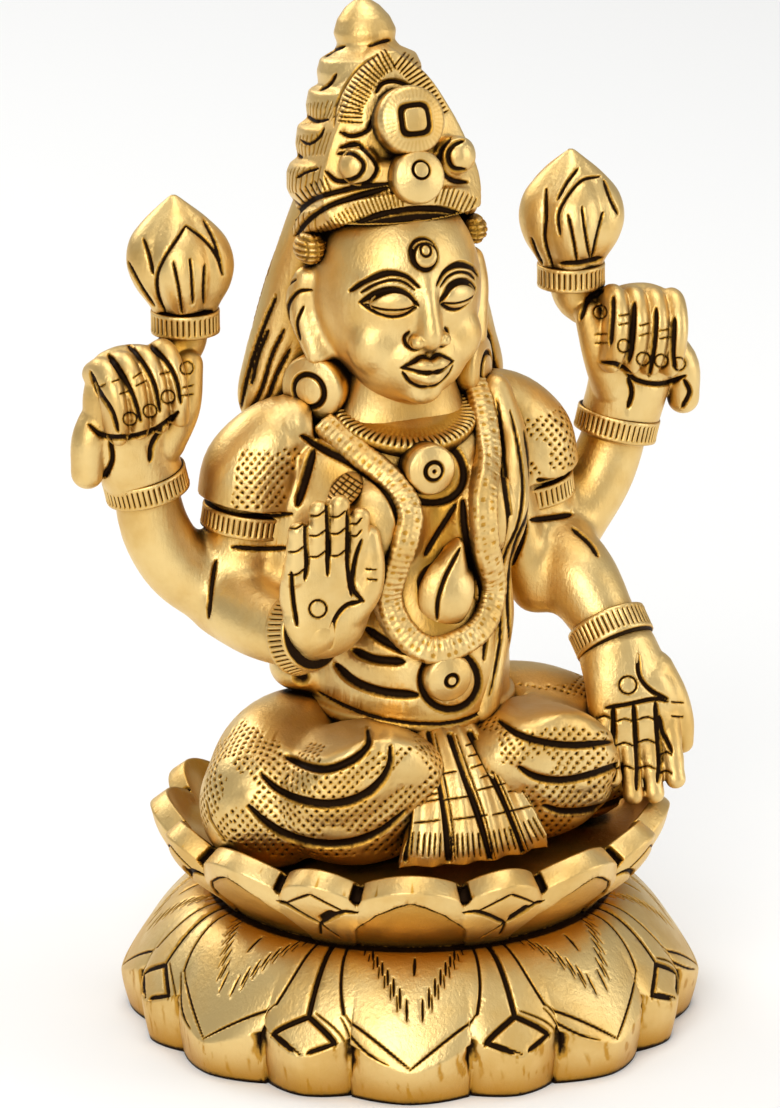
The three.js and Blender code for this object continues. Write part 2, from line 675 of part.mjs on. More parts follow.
// Tall crown leaning back: two bands high in front, stepped tiers, an arched plate, jewels and a finial
function crown() {
  // heights are set out from the crown's edge, and the top of the figure stands at crownRows
  const crownRows = 25.4;
  const foot = crownEdge / module;
  const level = (row) => foot + (row * (moduleCount - foot)) / crownRows;
  // rings of [y, row, radius, forward tilt]
  const tiers = [
    [9.8, -6.8, 12.6, 0.46], [9.8, -6.4, 13.7, 0.46], [9.9, -3.2, 13.7, 0.42], [10, -3, 12.8, 0.4],
    [10.4, -1, 12.8, 0.34], [11.4, 0, 13.4, 0.28], [12.2, 3.4, 12.9, 0.23], [12.6, 4, 11.2, 0.2],
    [13.6, 8.4, 11.1, 0.18], [13.9, 9, 9.3, 0.17], [14.8, 13.2, 9, 0.17], [15, 13.6, 7.3, 0.17],
    [15.8, 17.4, 7, 0.17], [16.2, 18.4, 4.2, 0.18], [16.8, 19.8, 3.7, 0.18], [17.2, 20.8, 4.5, 0.18],
    [17.6, 22.4, 4, 0.18], [18, 24.2, 2.2, 0.18],
  ];
  const sides = 16;
  const rings = tiers.map(([y, row, radius, tilt]) => Array.from({ length: sides }, (_, s) => {
    const angle = (2 * Math.PI * (s + 0.5)) / sides;
    const reach = Math.sin(angle) * radius;
    return at(Math.cos(angle) * radius, y + reach * Math.cos(tilt), level(row) - reach * Math.sin(tilt));
  }));
  const point = at(0, 18.2, moduleCount);
  // the arched plate, from its foot up to the point, as half widths at rising rows
  const plate = [[11.6, -2.6], [12.3, 0.9], [10.4, 6.8], [8.2, 11.4], [5, 16.4], [0.8, 20.2]];
  const plateFoot = -2.6; // front of the plate at its foot
  const plateLean = 0.44;
  const plateCurve = 0.03;
  const plateDepth = 6;
  const plateRings = plate.map(([halfWidth, row]) => {
    const y = plateFoot + plateLean * (row - plate[0][1]);
    const arc = [-1, -0.5, 0, 0.5, 1].map((share) => at(
      halfWidth * share,
      y + plateCurve * (halfWidth * share) ** 2,
      level(row),
    ));
    const back = arc.map((p) => p.clone().add(at(0, plateDepth, 0))).reverse();
    return [...arc, ...back];
  });
  const solids = [
    skin([[middleOf(rings[0])], ...rings, [point]]),
    skin([[middleOf(plateRings[0])], ...plateRings, [middleOf(plateRings[plateRings.length - 1])]]),
    jewel([0, -2.6, level(4.2)], [0, -1, 0.3], 3.9, 1.6),
    jewel([0, 0, level(11.8)], [0, -1, 0.36], 5, 1.8, 12),
  ];
  for (const side of [-1, 1]) {
    const boss = [[0, -jewelRoot], [2.7, -jewelRoot], [2.7, 0.4], [0, 1.2]];
    solids.push(turned(boss, [7.8 * side, 0.4, level(5.8)], [0.5 * side, -1, 0.3], 8));
    // beaded tuft above the ear
    solids.push(egg([12.1 * side, 7.6, level(-7.6)], [2.7, 3, 2.4], { around: 6, rows: 4 }));
  }
  return solids;
}

function figure() {
  const parts = [
    ...legs(), pleats(), ...trunk(), ...ornaments(), ...arms(), ...blessingHand(), ...givingHand(),
    ...hair(), ...head(), ...crown(),
  ];
  return joined(parts).translate([0, 0, seatHeight]);
}

const shortestEdge = 0.45;
const thinnestFace = 0.04;

const casting = lotus().add(figure()).getMesh();
const corners = Array.from({ length: casting.vertProperties.length / 3 }, (_, i) => (
  new THREE.Vector3().fromArray(casting.vertProperties, 3 * i)
));
const triangles = Array.from({ length: casting.triVerts.length / 3 }, (_, i) => (
  Array.from(casting.triVerts.slice(3 * i, 3 * i + 3))
));
const facets = new Facets(corners, triangles).tidy(shortestEdge, thinnestFace);

const lakshmi = new THREE.Mesh(facets.geometry(), new THREE.MeshStandardMaterial(brass));
lakshmi.name = 'lakshmi_figure';

const model = new THREE.Group();
model.add(lakshmi);
export default model;
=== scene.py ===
"""A cast brass figure of a seated goddess on a double lotus: its fine carving, its finish and the scene."""

import math

import bpy
import numpy as np
from mathutils import Euler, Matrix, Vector


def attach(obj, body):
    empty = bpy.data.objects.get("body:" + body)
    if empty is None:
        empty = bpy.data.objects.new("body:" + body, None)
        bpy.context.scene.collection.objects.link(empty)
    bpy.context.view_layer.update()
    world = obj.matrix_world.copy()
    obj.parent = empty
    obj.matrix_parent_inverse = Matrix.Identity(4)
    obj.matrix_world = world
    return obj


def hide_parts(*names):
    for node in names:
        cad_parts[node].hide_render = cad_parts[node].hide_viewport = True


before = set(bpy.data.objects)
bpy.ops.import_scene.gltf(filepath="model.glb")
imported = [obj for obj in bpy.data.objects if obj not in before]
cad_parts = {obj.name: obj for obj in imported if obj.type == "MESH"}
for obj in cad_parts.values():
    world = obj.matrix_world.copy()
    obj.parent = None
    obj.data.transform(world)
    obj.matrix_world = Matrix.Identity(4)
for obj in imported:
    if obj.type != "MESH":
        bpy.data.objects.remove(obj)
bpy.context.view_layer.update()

# Lengths are in millimetres until a mesh is made; the object's +Z is up and the figure faces -Y
METRE = 1000.0
SEAT = 27.0  # floor of the upper lotus, from which the figure's own heights count
LIFT = np.array([0.0, 0.0, SEAT])

# The photograph, and where it was taken from
PHOTO_SIZE = (780, 1108)
AZIMUTH, ELEVATION = math.radians(-22.5), math.radians(18.5)
DISTANCE = 1400.0
FOCAL = 9760.0
AIM_RIGHT, AIM_UP = -2.9, 68.75
SCALE = FOCAL / DISTANCE  # photograph pixels to a millimetre
RIGHT = np.array([math.cos(AZIMUTH), math.sin(AZIMUTH), 0.0])
BACK = np.array([
    math.sin(AZIMUTH) * math.cos(ELEVATION),
    -math.cos(AZIMUTH) * math.cos(ELEVATION),
    math.sin(ELEVATION),
])
UP = np.cross(BACK, RIGHT)
EYE = AIM_RIGHT * RIGHT + np.array([0.0, 0.0, AIM_UP]) + DISTANCE * BACK

COARSE = 1.0
NODE = "lakshmi_figure"

# Most triangles that a piece keeps; the whole stays under a million
BUDGETS = {
    "lower_lotus": 120000, "upper_lotus": 90000, "skirt": 110000, "pleats": 32000, "trunk_and_arms": 112000,
    "jewels": 36000, "garland": 32000, "scarf": 14000, "pendant": 8000, "blessing_hand": 28000,
    "sleeve_corner": 4000, "giving_hand": 28000, "right_raised_hand": 26000, "left_raised_hand": 26000,
    "right_bud": 11000, "left_bud": 11000, "head": 84000, "hair": 28000, "beaded_tufts": 6000,
    "crown": 104000,
}


def seen(points):
    """Where points show in the photograph, in its pixels"""
    away = points - EYE
    depth = -(away @ BACK)
    across = PHOTO_SIZE[0] / 2 + FOCAL * (away @ RIGHT) / depth
    down = PHOTO_SIZE[1] / 2 - FOCAL * (away @ UP) / depth
    return np.stack([across, down], 1)


def unit(vectors):
    return vectors / np.maximum(np.linalg.norm(vectors, axis=-1, keepdims=True), 1e-12)


def spline(stops, steps):
    """Rows along a smooth curve through the stops, timed by their distance in x, y and z"""
    rows = np.asarray(stops, float)
    gaps = np.maximum(np.linalg.norm(np.diff(rows[:, :3], axis=0), axis=1), 1e-6)
    times = np.concatenate([[0], np.cumsum(np.sqrt(gaps))])
    slopes = np.diff(rows, axis=0) / np.diff(times)[:, None]
    lead, trail = np.diff(times)[:-1, None], np.diff(times)[1:, None]
    inner = (slopes[:-1] * trail + slopes[1:] * lead) / (lead + trail)
    tangents = np.vstack([slopes[:1], inner, slopes[-1:]])
    share = np.linspace(0, len(rows) - 1, (len(rows) - 1) * steps + 1)
    i = np.minimum(share.astype(int), len(rows) - 2)
    f = (share - i)[:, None]
    span = np.diff(times)[i][:, None]
    return (
        rows[i] * (1 + 2 * f) * (1 - f) ** 2
        + rows[i + 1] * f ** 2 * (3 - 2 * f)
        + tangents[i] * span * f * (1 - f) ** 2
        - tangents[i + 1] * span * f ** 2 * (1 - f)
    )


def curve(stops, steps):
    """A smooth flat path through stops of two numbers"""
    flat = np.asarray(stops, float)
    return spline(np.column_stack([flat, np.zeros(len(flat))]), steps)[:, :2]


def lattice_faces(rows, columns):
    """Triangles over rows of points that each go all the way round"""
    i, j = np.meshgrid(np.arange(rows - 1), np.arange(columns), indexing="ij")
    a = i * columns + j
    b = i * columns + (j + 1) % columns
    c, d = b + columns, a + columns
    return np.concatenate([np.stack([a, b, c], -1).reshape(-1, 3), np.stack([a, c, d], -1).reshape(-1, 3)])


def outward(points, faces):
    """The faces, turned over if they look into the solid"""
    a, b, c = (points[faces[:, k]] for k in range(3))
    return faces if np.einsum("ij,ij->i", a, np.cross(b, c)).sum() > 0 else faces[:, ::-1]


def skin(rings):
    """A closed skin over rings of points, with a pole in the middle of each end"""
    rings = np.asarray(rings, float)
    rows, columns = rings.shape[:2]
    points = np.vstack([rings.reshape(-1, 3), rings[0].mean(0), rings[-1].mean(0)])
    first, last = rows * columns, rows * columns + 1
    near = np.arange(columns)
    after = (near + 1) % columns
    top = (rows - 1) * columns
    start = np.stack([np.full(columns, first), after, near], 1)
    end = np.stack([np.full(columns, last), top + near, top + after], 1)
    faces = np.concatenate([lattice_faces(rows, columns), start, end])
    return points, outward(points, faces)


def shaded_skin(rings, darks):
    """A closed skin with the darkness of its points; its two poles are bare"""
    points, faces = skin(rings)
    return points, faces, np.append(np.ravel(darks), [0, 0])


def circle(sides):
    angle = np.linspace(0, 2 * np.pi, sides, endpoint=False)
    return np.cos(angle), np.sin(angle)


def with_depth(stops):
    """Stops of x, y, z, half width and half depth, which is the half width where none is given"""
    return [(*stop, stop[3]) if len(stop) == 4 else stop for stop in stops]


def tube(stops, across=(1, 0, 0), sides=28, steps=6, rounded=True):
    """A limb through its stops, its width lying along "across" """
    path = spline(with_depth(stops), steps)
    centre, size = path[:, :3], path[:, 3:5]
    axis = unit(np.gradient(centre, axis=0))
    if rounded:
        tilts = np.radians([80, 60, 40, 20])
        extra = len(tilts)
        reach = size[[0, -1]].min(1)
        ahead = [centre[0] - axis[0] * reach[0] * math.sin(t) for t in tilts]
        behind = [centre[-1] + axis[-1] * reach[1] * math.sin(t) for t in tilts[::-1]]
        opening = [size[0] * math.cos(t) for t in tilts]
        closing = [size[-1] * math.cos(t) for t in tilts[::-1]]
        centre = np.vstack([ahead, centre, behind])
        size = np.vstack([opening, size, closing])
        axis = np.vstack([np.repeat(axis[:1], extra, 0), axis, np.repeat(axis[-1:], extra, 0)])
    u = unit(across - (axis @ np.asarray(across, float))[:, None] * axis)
    v = np.cross(axis, u)
    cos, sin = circle(sides)
    rings = centre[:, None] + LIFT
    rings = rings + cos[None, :, None] * (u * size[:, :1])[:, None]
    rings = rings + sin[None, :, None] * (v * size[:, 1:])[:, None]
    return skin(rings)


def egg(centre, half, turn=(0, 0, 0), sides=44, rows=26):
    """An egg with half sizes, turned by Euler angles"""
    tilt = np.linspace(0.02, np.pi - 0.02, rows)
    cos, sin = circle(sides)
    ball = np.stack([
        np.sin(tilt)[:, None] * cos, np.sin(tilt)[:, None] * sin, -np.cos(tilt)[:, None] + 0 * cos,
    ], -1)
    spin = np.array(Euler(turn).to_matrix())
    return skin((ball * half) @ spin.T + centre + LIFT)


def frame_on(axis):
    """Rotation that stands local +Z on an axis"""
    return np.array(Vector((0, 0, 1)).rotation_difference(Vector(axis)).to_matrix())


def turned(profile, place, axis, sides=72):
    """A turned body: radius and height rows, stood on "axis" at a place"""
    cos, sin = circle(sides)
    rings = [np.stack([max(r, 0.02) * cos, max(r, 0.02) * sin, h + 0 * cos], 1) for r, h in profile]
    return skin(np.array(rings) @ frame_on(axis).T + place + LIFT)


def stacked(ovals, place, axis):
    """Ovals of height, half width, half depth and shift, one on another along "axis" """
    cos, sin = circle(72)
    rings = [np.stack([cos * w, sin * d + shift, h + 0 * cos], 1) for h, w, d, shift in ovals]
    return skin(np.array(rings) @ frame_on(axis).T + place + LIFT)


def mirrored(stops, side):
    return [(side * stop[0], *stop[1:]) for stop in stops]


def merged(parts):
    points, faces, count = [], [], 0
    for part_points, part_faces in parts:
        points.append(part_points)
        faces.append(part_faces + count)
        count += len(part_points)
    return np.vstack(points), np.vstack(faces)


def set_mesh(name, points, faces):
    """A Blender mesh from points in millimetres and triangles"""
    mesh = bpy.data.meshes.new(name)
    mesh.vertices.add(len(points))
    mesh.vertices.foreach_set("co", (points / METRE).astype(np.float32).ravel())
    mesh.loops.add(faces.size)
    mesh.loops.foreach_set("vertex_index", faces.astype(np.int32).ravel())
    mesh.polygons.add(len(faces))
    mesh.polygons.foreach_set("loop_start", np.arange(0, faces.size, 3, dtype=np.int32))
    mesh.update(calc_edges=True)
    return mesh


def put_in(name, mesh):
    obj = bpy.data.objects.new(name, mesh)
    bpy.context.scene.collection.objects.link(obj)
    return obj


def with_modifier(obj, kind, **settings):
    """The mesh that one modifier makes of an object"""
    modifier = obj.modifiers.new(kind.lower(), kind)
    for key, value in settings.items():
        setattr(modifier, key, value)
    bpy.context.view_layer.update()
    return bpy.data.meshes.new_from_object(obj.evaluated_get(bpy.context.evaluated_depsgraph_get()))


def blend_points(points, faces, rounds):
    """Points drawn towards their neighbours' middle, so that creases soften"""
    strength = 0.6
    start = faces.ravel()
    end = np.roll(faces, -1, axis=1).ravel()
    count = np.bincount(start, minlength=len(points))[:, None]
    for _ in range(rounds):
        total = np.stack([np.bincount(start, points[end, k], len(points)) for k in range(3)], 1)
        points = points + strength * (total / count - points)
    return points


def cast(parts, pitch, rounds):
    """One skin round all the parts, on a lattice of that pitch, with its creases softened"""
    points, faces = merged(parts)
    obj = put_in("cast", set_mesh("cast", points, faces))
    mesh = with_modifier(obj, "REMESH", mode="VOXEL", voxel_size=pitch * COARSE / METRE)
    made = np.empty(len(mesh.vertices) * 3, np.float32)
    mesh.vertices.foreach_get("co", made)
    quads = np.empty(len(mesh.loops), np.int32)
    mesh.loops.foreach_get("vertex_index", quads)
    quads = quads.reshape(-1, 4)
    bpy.data.objects.remove(obj)
    bpy.data.meshes.remove(mesh)
    triangles = np.concatenate([quads[:, [0, 1, 2]], quads[:, [0, 2, 3]]])
    made = made.reshape(-1, 3).astype(float) * METRE
    return blend_points(made, triangles, rounds), triangles


def carved(parts, pitch, rounds):
    """The cast skin of all the parts, ready for its strokes"""
    return Carving(*cast(parts, pitch, rounds))


def normals_of(points, faces):
    a, b, c = (points[faces[:, k]] for k in range(3))
    across = np.cross(b - a, c - a)
    total = np.zeros_like(points)
    for k in range(3):
        for axis in range(3):
            total[:, axis] += np.bincount(faces[:, k], across[:, axis], len(points))
    return unit(total)


def smooth_step(low, high, values):
    share = np.clip((values - low) / (high - low), 0, 1)
    return share * share * (3 - 2 * share)


def ripple(points, size, seed=0):
    """Soft noise between -1 and 1, from a few crossed waves about that size"""
    total = np.zeros(len(points))
    random = np.random.default_rng(seed)
    for _ in range(7):
        way = unit(random.normal(size=3)) * 2 * np.pi / (size * random.uniform(0.7, 1.6))
        total += np.sin(points @ way + random.uniform(0, 6.3))
    return total / 3.2


class Carving:
    """A skin that is cut by strokes. Each stroke is drawn on a plan, which gives every point a place in two
    dimensions, says which points it reaches, and how many of its units make a millimetre. The plan "photo"
    is what the photograph shows, in its pixels, and the others are in millimetres. Widths and depths of
    strokes are millimetres on every plan."""

    def __init__(self, points, faces):
        self.points = points
        self.faces = faces
        self.plans = {}
        self.dark = np.zeros(len(points))
        self.settle()

    def settle(self):
        """Takes up the present shape, before finer strokes are cut"""
        self.normals = normals_of(self.points, self.faces)
        self.cut = np.zeros(len(self.points))
        self.plans["photo"] = (seen(self.points), self.normals @ BACK > 0.06, SCALE)
        x, y, z = self.points.T
        self.plans["front"] = (np.stack([x, z], 1), self.normals[:, 1] < -0.1, 1.0)
        self.plans["back"] = (np.stack([-x, z], 1), self.normals[:, 1] > 0.1, 1.0)
        self.plans["left"] = (np.stack([y, z], 1), self.normals[:, 0] > 0.1, 1.0)
        self.plans["right"] = (np.stack([-y, z], 1), self.normals[:, 0] < -0.1, 1.0)
        self.plans["top"] = (np.stack([x, y], 1), self.normals[:, 2] > 0.1, 1.0)

    def near(self, path, reach, plan, where):
        """Points close to a stroke, with their distance from it and their share along it"""
        spots, open_to, _ = self.plans[plan]
        low, high = path.min(0) - reach, path.max(0) + reach
        inside = open_to & (spots > low).all(1) & (spots < high).all(1)
        if where is not None:
            inside &= where
        chosen = np.flatnonzero(inside)
        if not len(chosen):
            return chosen, None, None
        start, step = path[:-1], np.diff(path, axis=0)
        length = np.maximum((step ** 2).sum(1), 1e-9)
        away = spots[chosen][:, None] - start
        share = np.clip((away * step).sum(2) / length, 0, 1)
        gap = np.linalg.norm(away - share[..., None] * step, axis=2)
        best = gap.argmin(1)
        rows = np.arange(len(chosen))
        run = np.concatenate([[0], np.cumsum(np.sqrt(length))])
        along = (run[best] + share[rows, best] * np.sqrt(length[best])) / run[-1]
        return chosen, gap[rows, best], along

    def groove(self, stops, width, depth=None, dark=1.0, plan="photo", where=None, curved=True, taper=0.15):
        """A chiselled line; a minus depth raises a ridge instead"""
        scale = self.plans[plan][2]
        stops = curve(stops, 5) if curved and len(stops) > 2 else np.asarray(stops, float)
        depth = 0.45 * width if depth is None else depth
        reach = 0.5 * width * scale
        chosen, gap, along = self.near(stops, 1.6 * reach, plan, where)
        if not len(chosen):
            return
        if taper:
            narrow = np.clip(np.minimum(along, 1 - along) / taper, 0, 1)
            reach = reach * (0.35 + 0.65 * np.sqrt(narrow))
        share = gap / reach
        self.push(chosen, depth * np.clip(1 - share ** 2, 0, 1))
        self.darken(chosen, dark * np.clip(1.5 * (1.12 - share), 0, 1))

    def push(self, chosen, amount):
        strongest = np.abs(amount) > np.abs(self.cut[chosen])
        self.cut[chosen] = np.where(strongest, amount, self.cut[chosen])

    def darken(self, chosen, amount):
        self.dark[chosen] = np.maximum(self.dark[chosen], amount)

    def shade(self, amount):
        """Darkens every point that is lighter than an amount"""
        self.dark = np.maximum(self.dark, amount)

    def engrave(self, depth, amount):
        """Cuts and darkens every point at once"""
        self.cut = np.maximum(self.cut, depth)
        self.shade(amount)

    def grooves(self, paths, width, **options):
        for stops in paths:
            self.groove(stops, width, **options)

    def ring(self, centre, radius, width, **options):
        """A closed round line"""
        cos, sin = circle(36)
        stops = np.stack([centre[0] + radius * cos, centre[1] + radius * sin], 1)
        self.groove(np.vstack([stops, stops[:1]]), width, curved=False, taper=0, **options)

    def pit(self, centre, radius, depth, **options):
        """A round drilled hollow"""
        nudge = np.array([0.01, 0])
        self.groove([centre - nudge, centre + nudge], 2 * radius, depth=depth, taper=0, **options)

    def hatch(self, stops, spacing, length, width, **options):
        """Short strokes across a path in the photograph, in its pixels but for their width"""
        path = curve(stops, 8)
        run = np.concatenate([[0], np.cumsum(np.linalg.norm(np.diff(path, axis=0), axis=1))])
        for place in np.arange(spacing / 2, run[-1], spacing):
            before, middle, after = (
                np.array([np.interp(spot, run, path[:, k]) for k in range(2)])
                for spot in (place - 1, place, place + 1)
            )
            along = unit(after - before)
            across = unit(np.array([-along[1], along[0]])) * length / 2
            self.groove([middle - across, middle + across], width, **options)

    def paint_shade(self, stops, width, amount):
        """A broad soft band of painted shade along a path in the photograph, which leaves the metal amber
        """
        reach = 0.5 * width * SCALE
        chosen, gap, _ = self.near(curve(stops, 5), reach, "photo", None)
        if len(chosen):
            self.darken(chosen, amount * smooth_step(0, 1, 1 - gap / reach))

    def swell(self, stops, width, height):
        """A broad soft rise along a path in the photograph, added to what is there"""
        reach = 0.5 * width * SCALE
        chosen, gap, _ = self.near(curve(stops, 5), reach, "photo", None)
        if len(chosen):
            self.cut[chosen] -= height * smooth_step(0, 1, 1 - gap / reach)

    def punched(self, spacing, radius, depth, where, dark=0.9):
        """Punch marks in slanting rows, drawn on whichever plan faces a point best"""
        x, y, z = self.normals.T
        facing = np.stack([self.normals @ BACK, y, x, -x, 0.9 * z], 1).argmax(1)
        slant = math.sqrt(0.5) * np.array([[1, 1], [-1, 1]])
        for side, plan in enumerate(("photo", "back", "left", "right", "top")):
            spots, _, scale = self.plans[plan]
            chosen = np.flatnonzero(where & (facing == side))
            if not len(chosen):
                continue
            wobble = 0.22 * ripple(self.points[chosen], 6, side)[:, None]
            cells = spots[chosen] @ slant / (spacing * scale) + wobble
            share = np.linalg.norm(cells - np.round(cells), axis=1) * spacing / radius
            self.push(chosen, depth * np.clip(1 - share ** 2, 0, 1))
            self.darken(chosen, dark * np.clip(1.6 * (1.1 - share), 0, 1))

    def finish(self):
        """Cuts the skin, and gives its points, its faces and how dark each point is"""
        self.points = self.points - self.normals * self.cut[:, None]
        self.settle()
        return self.points, self.faces, self.dark


def brass_material():
    """Polished cast brass, brown-black in its engraved lines and amber in its hollows, where the amber is
    painted shade
    """
    material = bpy.data.materials.new("cast_brass")
    material.use_nodes = True
    nodes, links = material.node_tree.nodes, material.node_tree.links
    shader = nodes["Principled BSDF"]
    shader.inputs["Metallic"].default_value = 1.0

    def node(kind, **inputs):
        made = nodes.new(kind)
        for key, value in inputs.items():
            made.inputs[key.replace("_", " ")].default_value = value
        return made

    def joined(operation, *values):
        """The result of one sum on numbers and outputs"""
        step = nodes.new("ShaderNodeMath")
        step.operation = operation
        for socket, value in zip(step.inputs, values):
            if isinstance(value, float):
                socket.default_value = value
            else:
                links.new(value, socket)
        return step.outputs["Value"]

    def openness(distance):
        """How open the metal is within a distance, from 0 in a crevice to 1"""
        step = nodes.new("ShaderNodeAmbientOcclusion")
        step.inputs["Distance"].default_value = distance
        step.samples = 8
        return step.outputs["AO"]

    def bumped(height, strength, distance, under=None):
        step = node("ShaderNodeBump", Strength=strength, Distance=distance)
        links.new(height, step.inputs["Height"])
        if under:
            links.new(under, step.inputs["Normal"])
        return step.outputs["Normal"]

    def mixed(factor, first, second):
        mix = nodes.new("ShaderNodeMix")
        mix.data_type = "RGBA"
        sockets = {"Factor": factor, "A": first, "B": second}
        for key, value in sockets.items():
            if isinstance(value, (tuple, float, int)):
                mix.inputs[key].default_value = value
            else:
                links.new(value, mix.inputs[key])
        return mix.outputs["Result"]

    def ranged(value, low, high, start=0.0, end=1.0):
        step = nodes.new("ShaderNodeMapRange")
        step.interpolation_type = "SMOOTHSTEP"
        step.inputs["From Min"].default_value = low
        step.inputs["From Max"].default_value = high
        step.inputs["To Min"].default_value = start
        step.inputs["To Max"].default_value = end
        links.new(value, step.inputs["Value"])
        return step.outputs["Result"]

    place = nodes.new("ShaderNodeTexCoord").outputs["Object"]
    patina_and_shade_input = nodes.new("ShaderNodeAttribute")
    patina_and_shade_input.attribute_name = "patina_and_shade"
    cloud = node("ShaderNodeTexNoise", Scale=90.0, Detail=4.0, Roughness=0.6)
    grain = node("ShaderNodeTexNoise", Scale=1500.0, Detail=3.0, Roughness=0.65)
    for noise in (cloud, grain):
        links.new(place, noise.inputs["Vector"])
    bright = (0.83, 0.60, 0.25, 1)
    warm = (0.72, 0.465, 0.15, 1)
    amber = (0.54, 0.27, 0.03, 1)
    black = (0.022, 0.011, 0.005, 1)
    dull = (0.65, 0.65, 0.65, 1)
    base = mixed(ranged(cloud.outputs["Fac"], 0.35, 0.7), bright, warm)
    # painted shade: amber where the metal is closed in within 7 mm, standing in for shade and for light
    # thrown back and forth between the brass surfaces
    base = mixed(ranged(openness(0.007), 0.35, 0.95, 1.0, 0.0), base, amber)
    # amber where the darkness attribute is low: at the soft edges of the engraved lines, and in the broad
    # bands of painted shade
    base = mixed(ranged(patina_and_shade_input.outputs["Fac"], 0.04, 0.2, 0.0, 0.9), base, amber)
    # black in tight crevices and where the attribute is high: dark residue in engraved lines and crevices,
    # and painted shade where a broad shade band is deepest
    in_crevices = ranged(openness(0.002), 0.3, 0.72, 0.95, 0.0)
    tarnish_and_shade = joined("MAXIMUM", patina_and_shade_input.outputs["Fac"], in_crevices)
    uneven = joined("MULTIPLY_ADD", grain.outputs["Fac"], 0.5, -0.25)
    stained_and_shaded = ranged(joined("ADD", tarnish_and_shade, uneven), 0.25, 0.8)
    links.new(mixed(stained_and_shaded, base, black), shader.inputs["Base Color"])
    satin = ranged(cloud.outputs["Fac"], 0.3, 0.7, 0.38, 0.48)
    links.new(mixed(stained_and_shaded, satin, dull), shader.inputs["Roughness"])

    stretch = node("ShaderNodeMapping", Scale=(2600.0, 2600.0, 260.0))
    links.new(place, stretch.inputs["Vector"])
    brushed = node("ShaderNodeTexNoise", Scale=1.0, Detail=3.0, Roughness=0.6)
    links.new(stretch.outputs["Vector"], brushed.inputs["Vector"])
    scratched = bumped(brushed.outputs["Fac"], 0.22, 0.0002)
    links.new(bumped(grain.outputs["Fac"], 0.24, 0.0003, scratched), shader.inputs["Normal"])
    return material


brass = brass_material()


def place(name, parts):
    """Parts of the casting, each with its points, faces and darkness, as one piece within its budget"""
    points, faces = merged([part[:2] for part in parts])
    mesh = set_mesh(name, points, faces)
    # each point's darkness as an attribute: dark residue and wear marks, and in broad bands painted shade
    patina_and_shade = mesh.attributes.new("patina_and_shade", "FLOAT", "POINT")
    patina_and_shade.data.foreach_set("value", np.concatenate([part[2] for part in parts]).astype(np.float32))
    obj = put_in(name, mesh)
    budget = BUDGETS.get(name, len(faces))
    if len(faces) > budget:
        thin = with_modifier(obj, "DECIMATE", ratio=budget / len(faces))
        obj.modifiers.clear()
        obj.data = thin
        bpy.data.meshes.remove(mesh)
        thin.name = name
    obj.data.polygons.foreach_set("use_smooth", np.ones(len(obj.data.polygons), bool))
    obj.data.materials.append(brass)
    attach(obj, "root")
    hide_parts(NODE)


# Double lotus base, on the part's own main sizes
PETAL_PAIRS = 8
PAIR = 360.0 / PETAL_PAIRS
BROAD_SHARE = 0.56
LOWER_RADIUS, LOWER_NOTCH = 42.0, 2.4
RIM_HEIGHT, DOME_HEIGHT = 5.2, 18.8
NECK_RADIUS = 28.6
UPPER_RADIUS, UPPER_NOTCH = 37.6, 2.6
UPPER_HEIGHT, NOTCH_DROP = 32.6, 2.6
PETAL_WALL, EDGE_SLOPE = 2.5, 1.9
SMALL_INSET = 0.52  # how far the small petals stay behind the broad ones
RIM_UNDERCUT = 1.2
CREASE_DEPTH = 1.5
FAR_OFF = 99.0  # a place on a plan that no stroke reaches
SMALL_HALF = 0.5 * PAIR * (1 - BROAD_SHARE)
BROAD_HALF = 0.5 * PAIR * BROAD_SHARE


def petal_angles(columns):
    """Angles round the base, each with its place on the small and on the broad petal nearest to it"""
    angle = np.arange(columns) * 360.0 / columns
    from_small = (angle + PAIR / 2) % PAIR - PAIR / 2
    from_broad = angle % PAIR - PAIR / 2
    is_small = np.abs(from_small) < SMALL_HALF
    share = np.where(is_small, from_small / SMALL_HALF, from_broad / BROAD_HALF)
    return np.radians(angle - 90), from_small, from_broad, is_small, np.abs(share)


def petal_grid(rows, columns):
    """Points of a petalled body. Rows hold radius, height, reach and fall of the notches, and sharpness."""
    angle, _, _, _, share = petal_angles(columns)
    radius, height, reach, fall, sharpness = (np.array(c)[:, None] for c in zip(*rows))
    dip = share[None] ** sharpness
    r = np.maximum(radius - reach * dip, 0.01)
    return np.stack([r * np.cos(angle), r * np.sin(angle), height - fall * dip], -1)


def petal_plans(carving, grid, climb):
    """Plans on the broad and on the small petals: millimetres across the petal, and up its face"""
    _, from_small, from_broad, _, _ = petal_angles(grid.shape[1])
    radius = np.linalg.norm(grid[..., :2], axis=-1)
    for name, angle in (("broad", from_broad), ("small", from_small)):
        across = np.radians(angle)[None] * radius
        spots = np.vstack([np.stack([across.ravel(), climb.ravel()], 1), np.full((2, 2), FAR_OFF)])
        carving.plans[name] = (spots, np.ones(len(spots), bool), 1.0)


def dome_height(radius):
    inward = np.clip((LOWER_RADIUS - radius) / (LOWER_RADIUS - NECK_RADIUS), 0, 1)
    return RIM_HEIGHT + (DOME_HEIGHT - RIM_HEIGHT) * np.sin(inward * np.pi / 2) ** 0.9


def climb_table(radii, heights):
    """Distance along a profile, counted from its first point"""
    return np.concatenate([[0], np.cumsum(np.hypot(np.diff(radii), np.diff(heights)))])


DOME_RADII = np.linspace(LOWER_RADIUS, NECK_RADIUS, 200)
DOME_CLIMB = climb_table(DOME_RADII, dome_height(DOME_RADII))


def on_dome(stops):
    """Degrees from a petal's middle and radius on the lower lotus, as a place on its plan"""
    return [
        (math.radians(turn) * radius, float(np.interp(-radius, -DOME_RADII, DOME_CLIMB)))
        for turn, radius in stops
    ]


def both_ways(stops):
    return [stops, [(-x, y) for x, y in stops]]


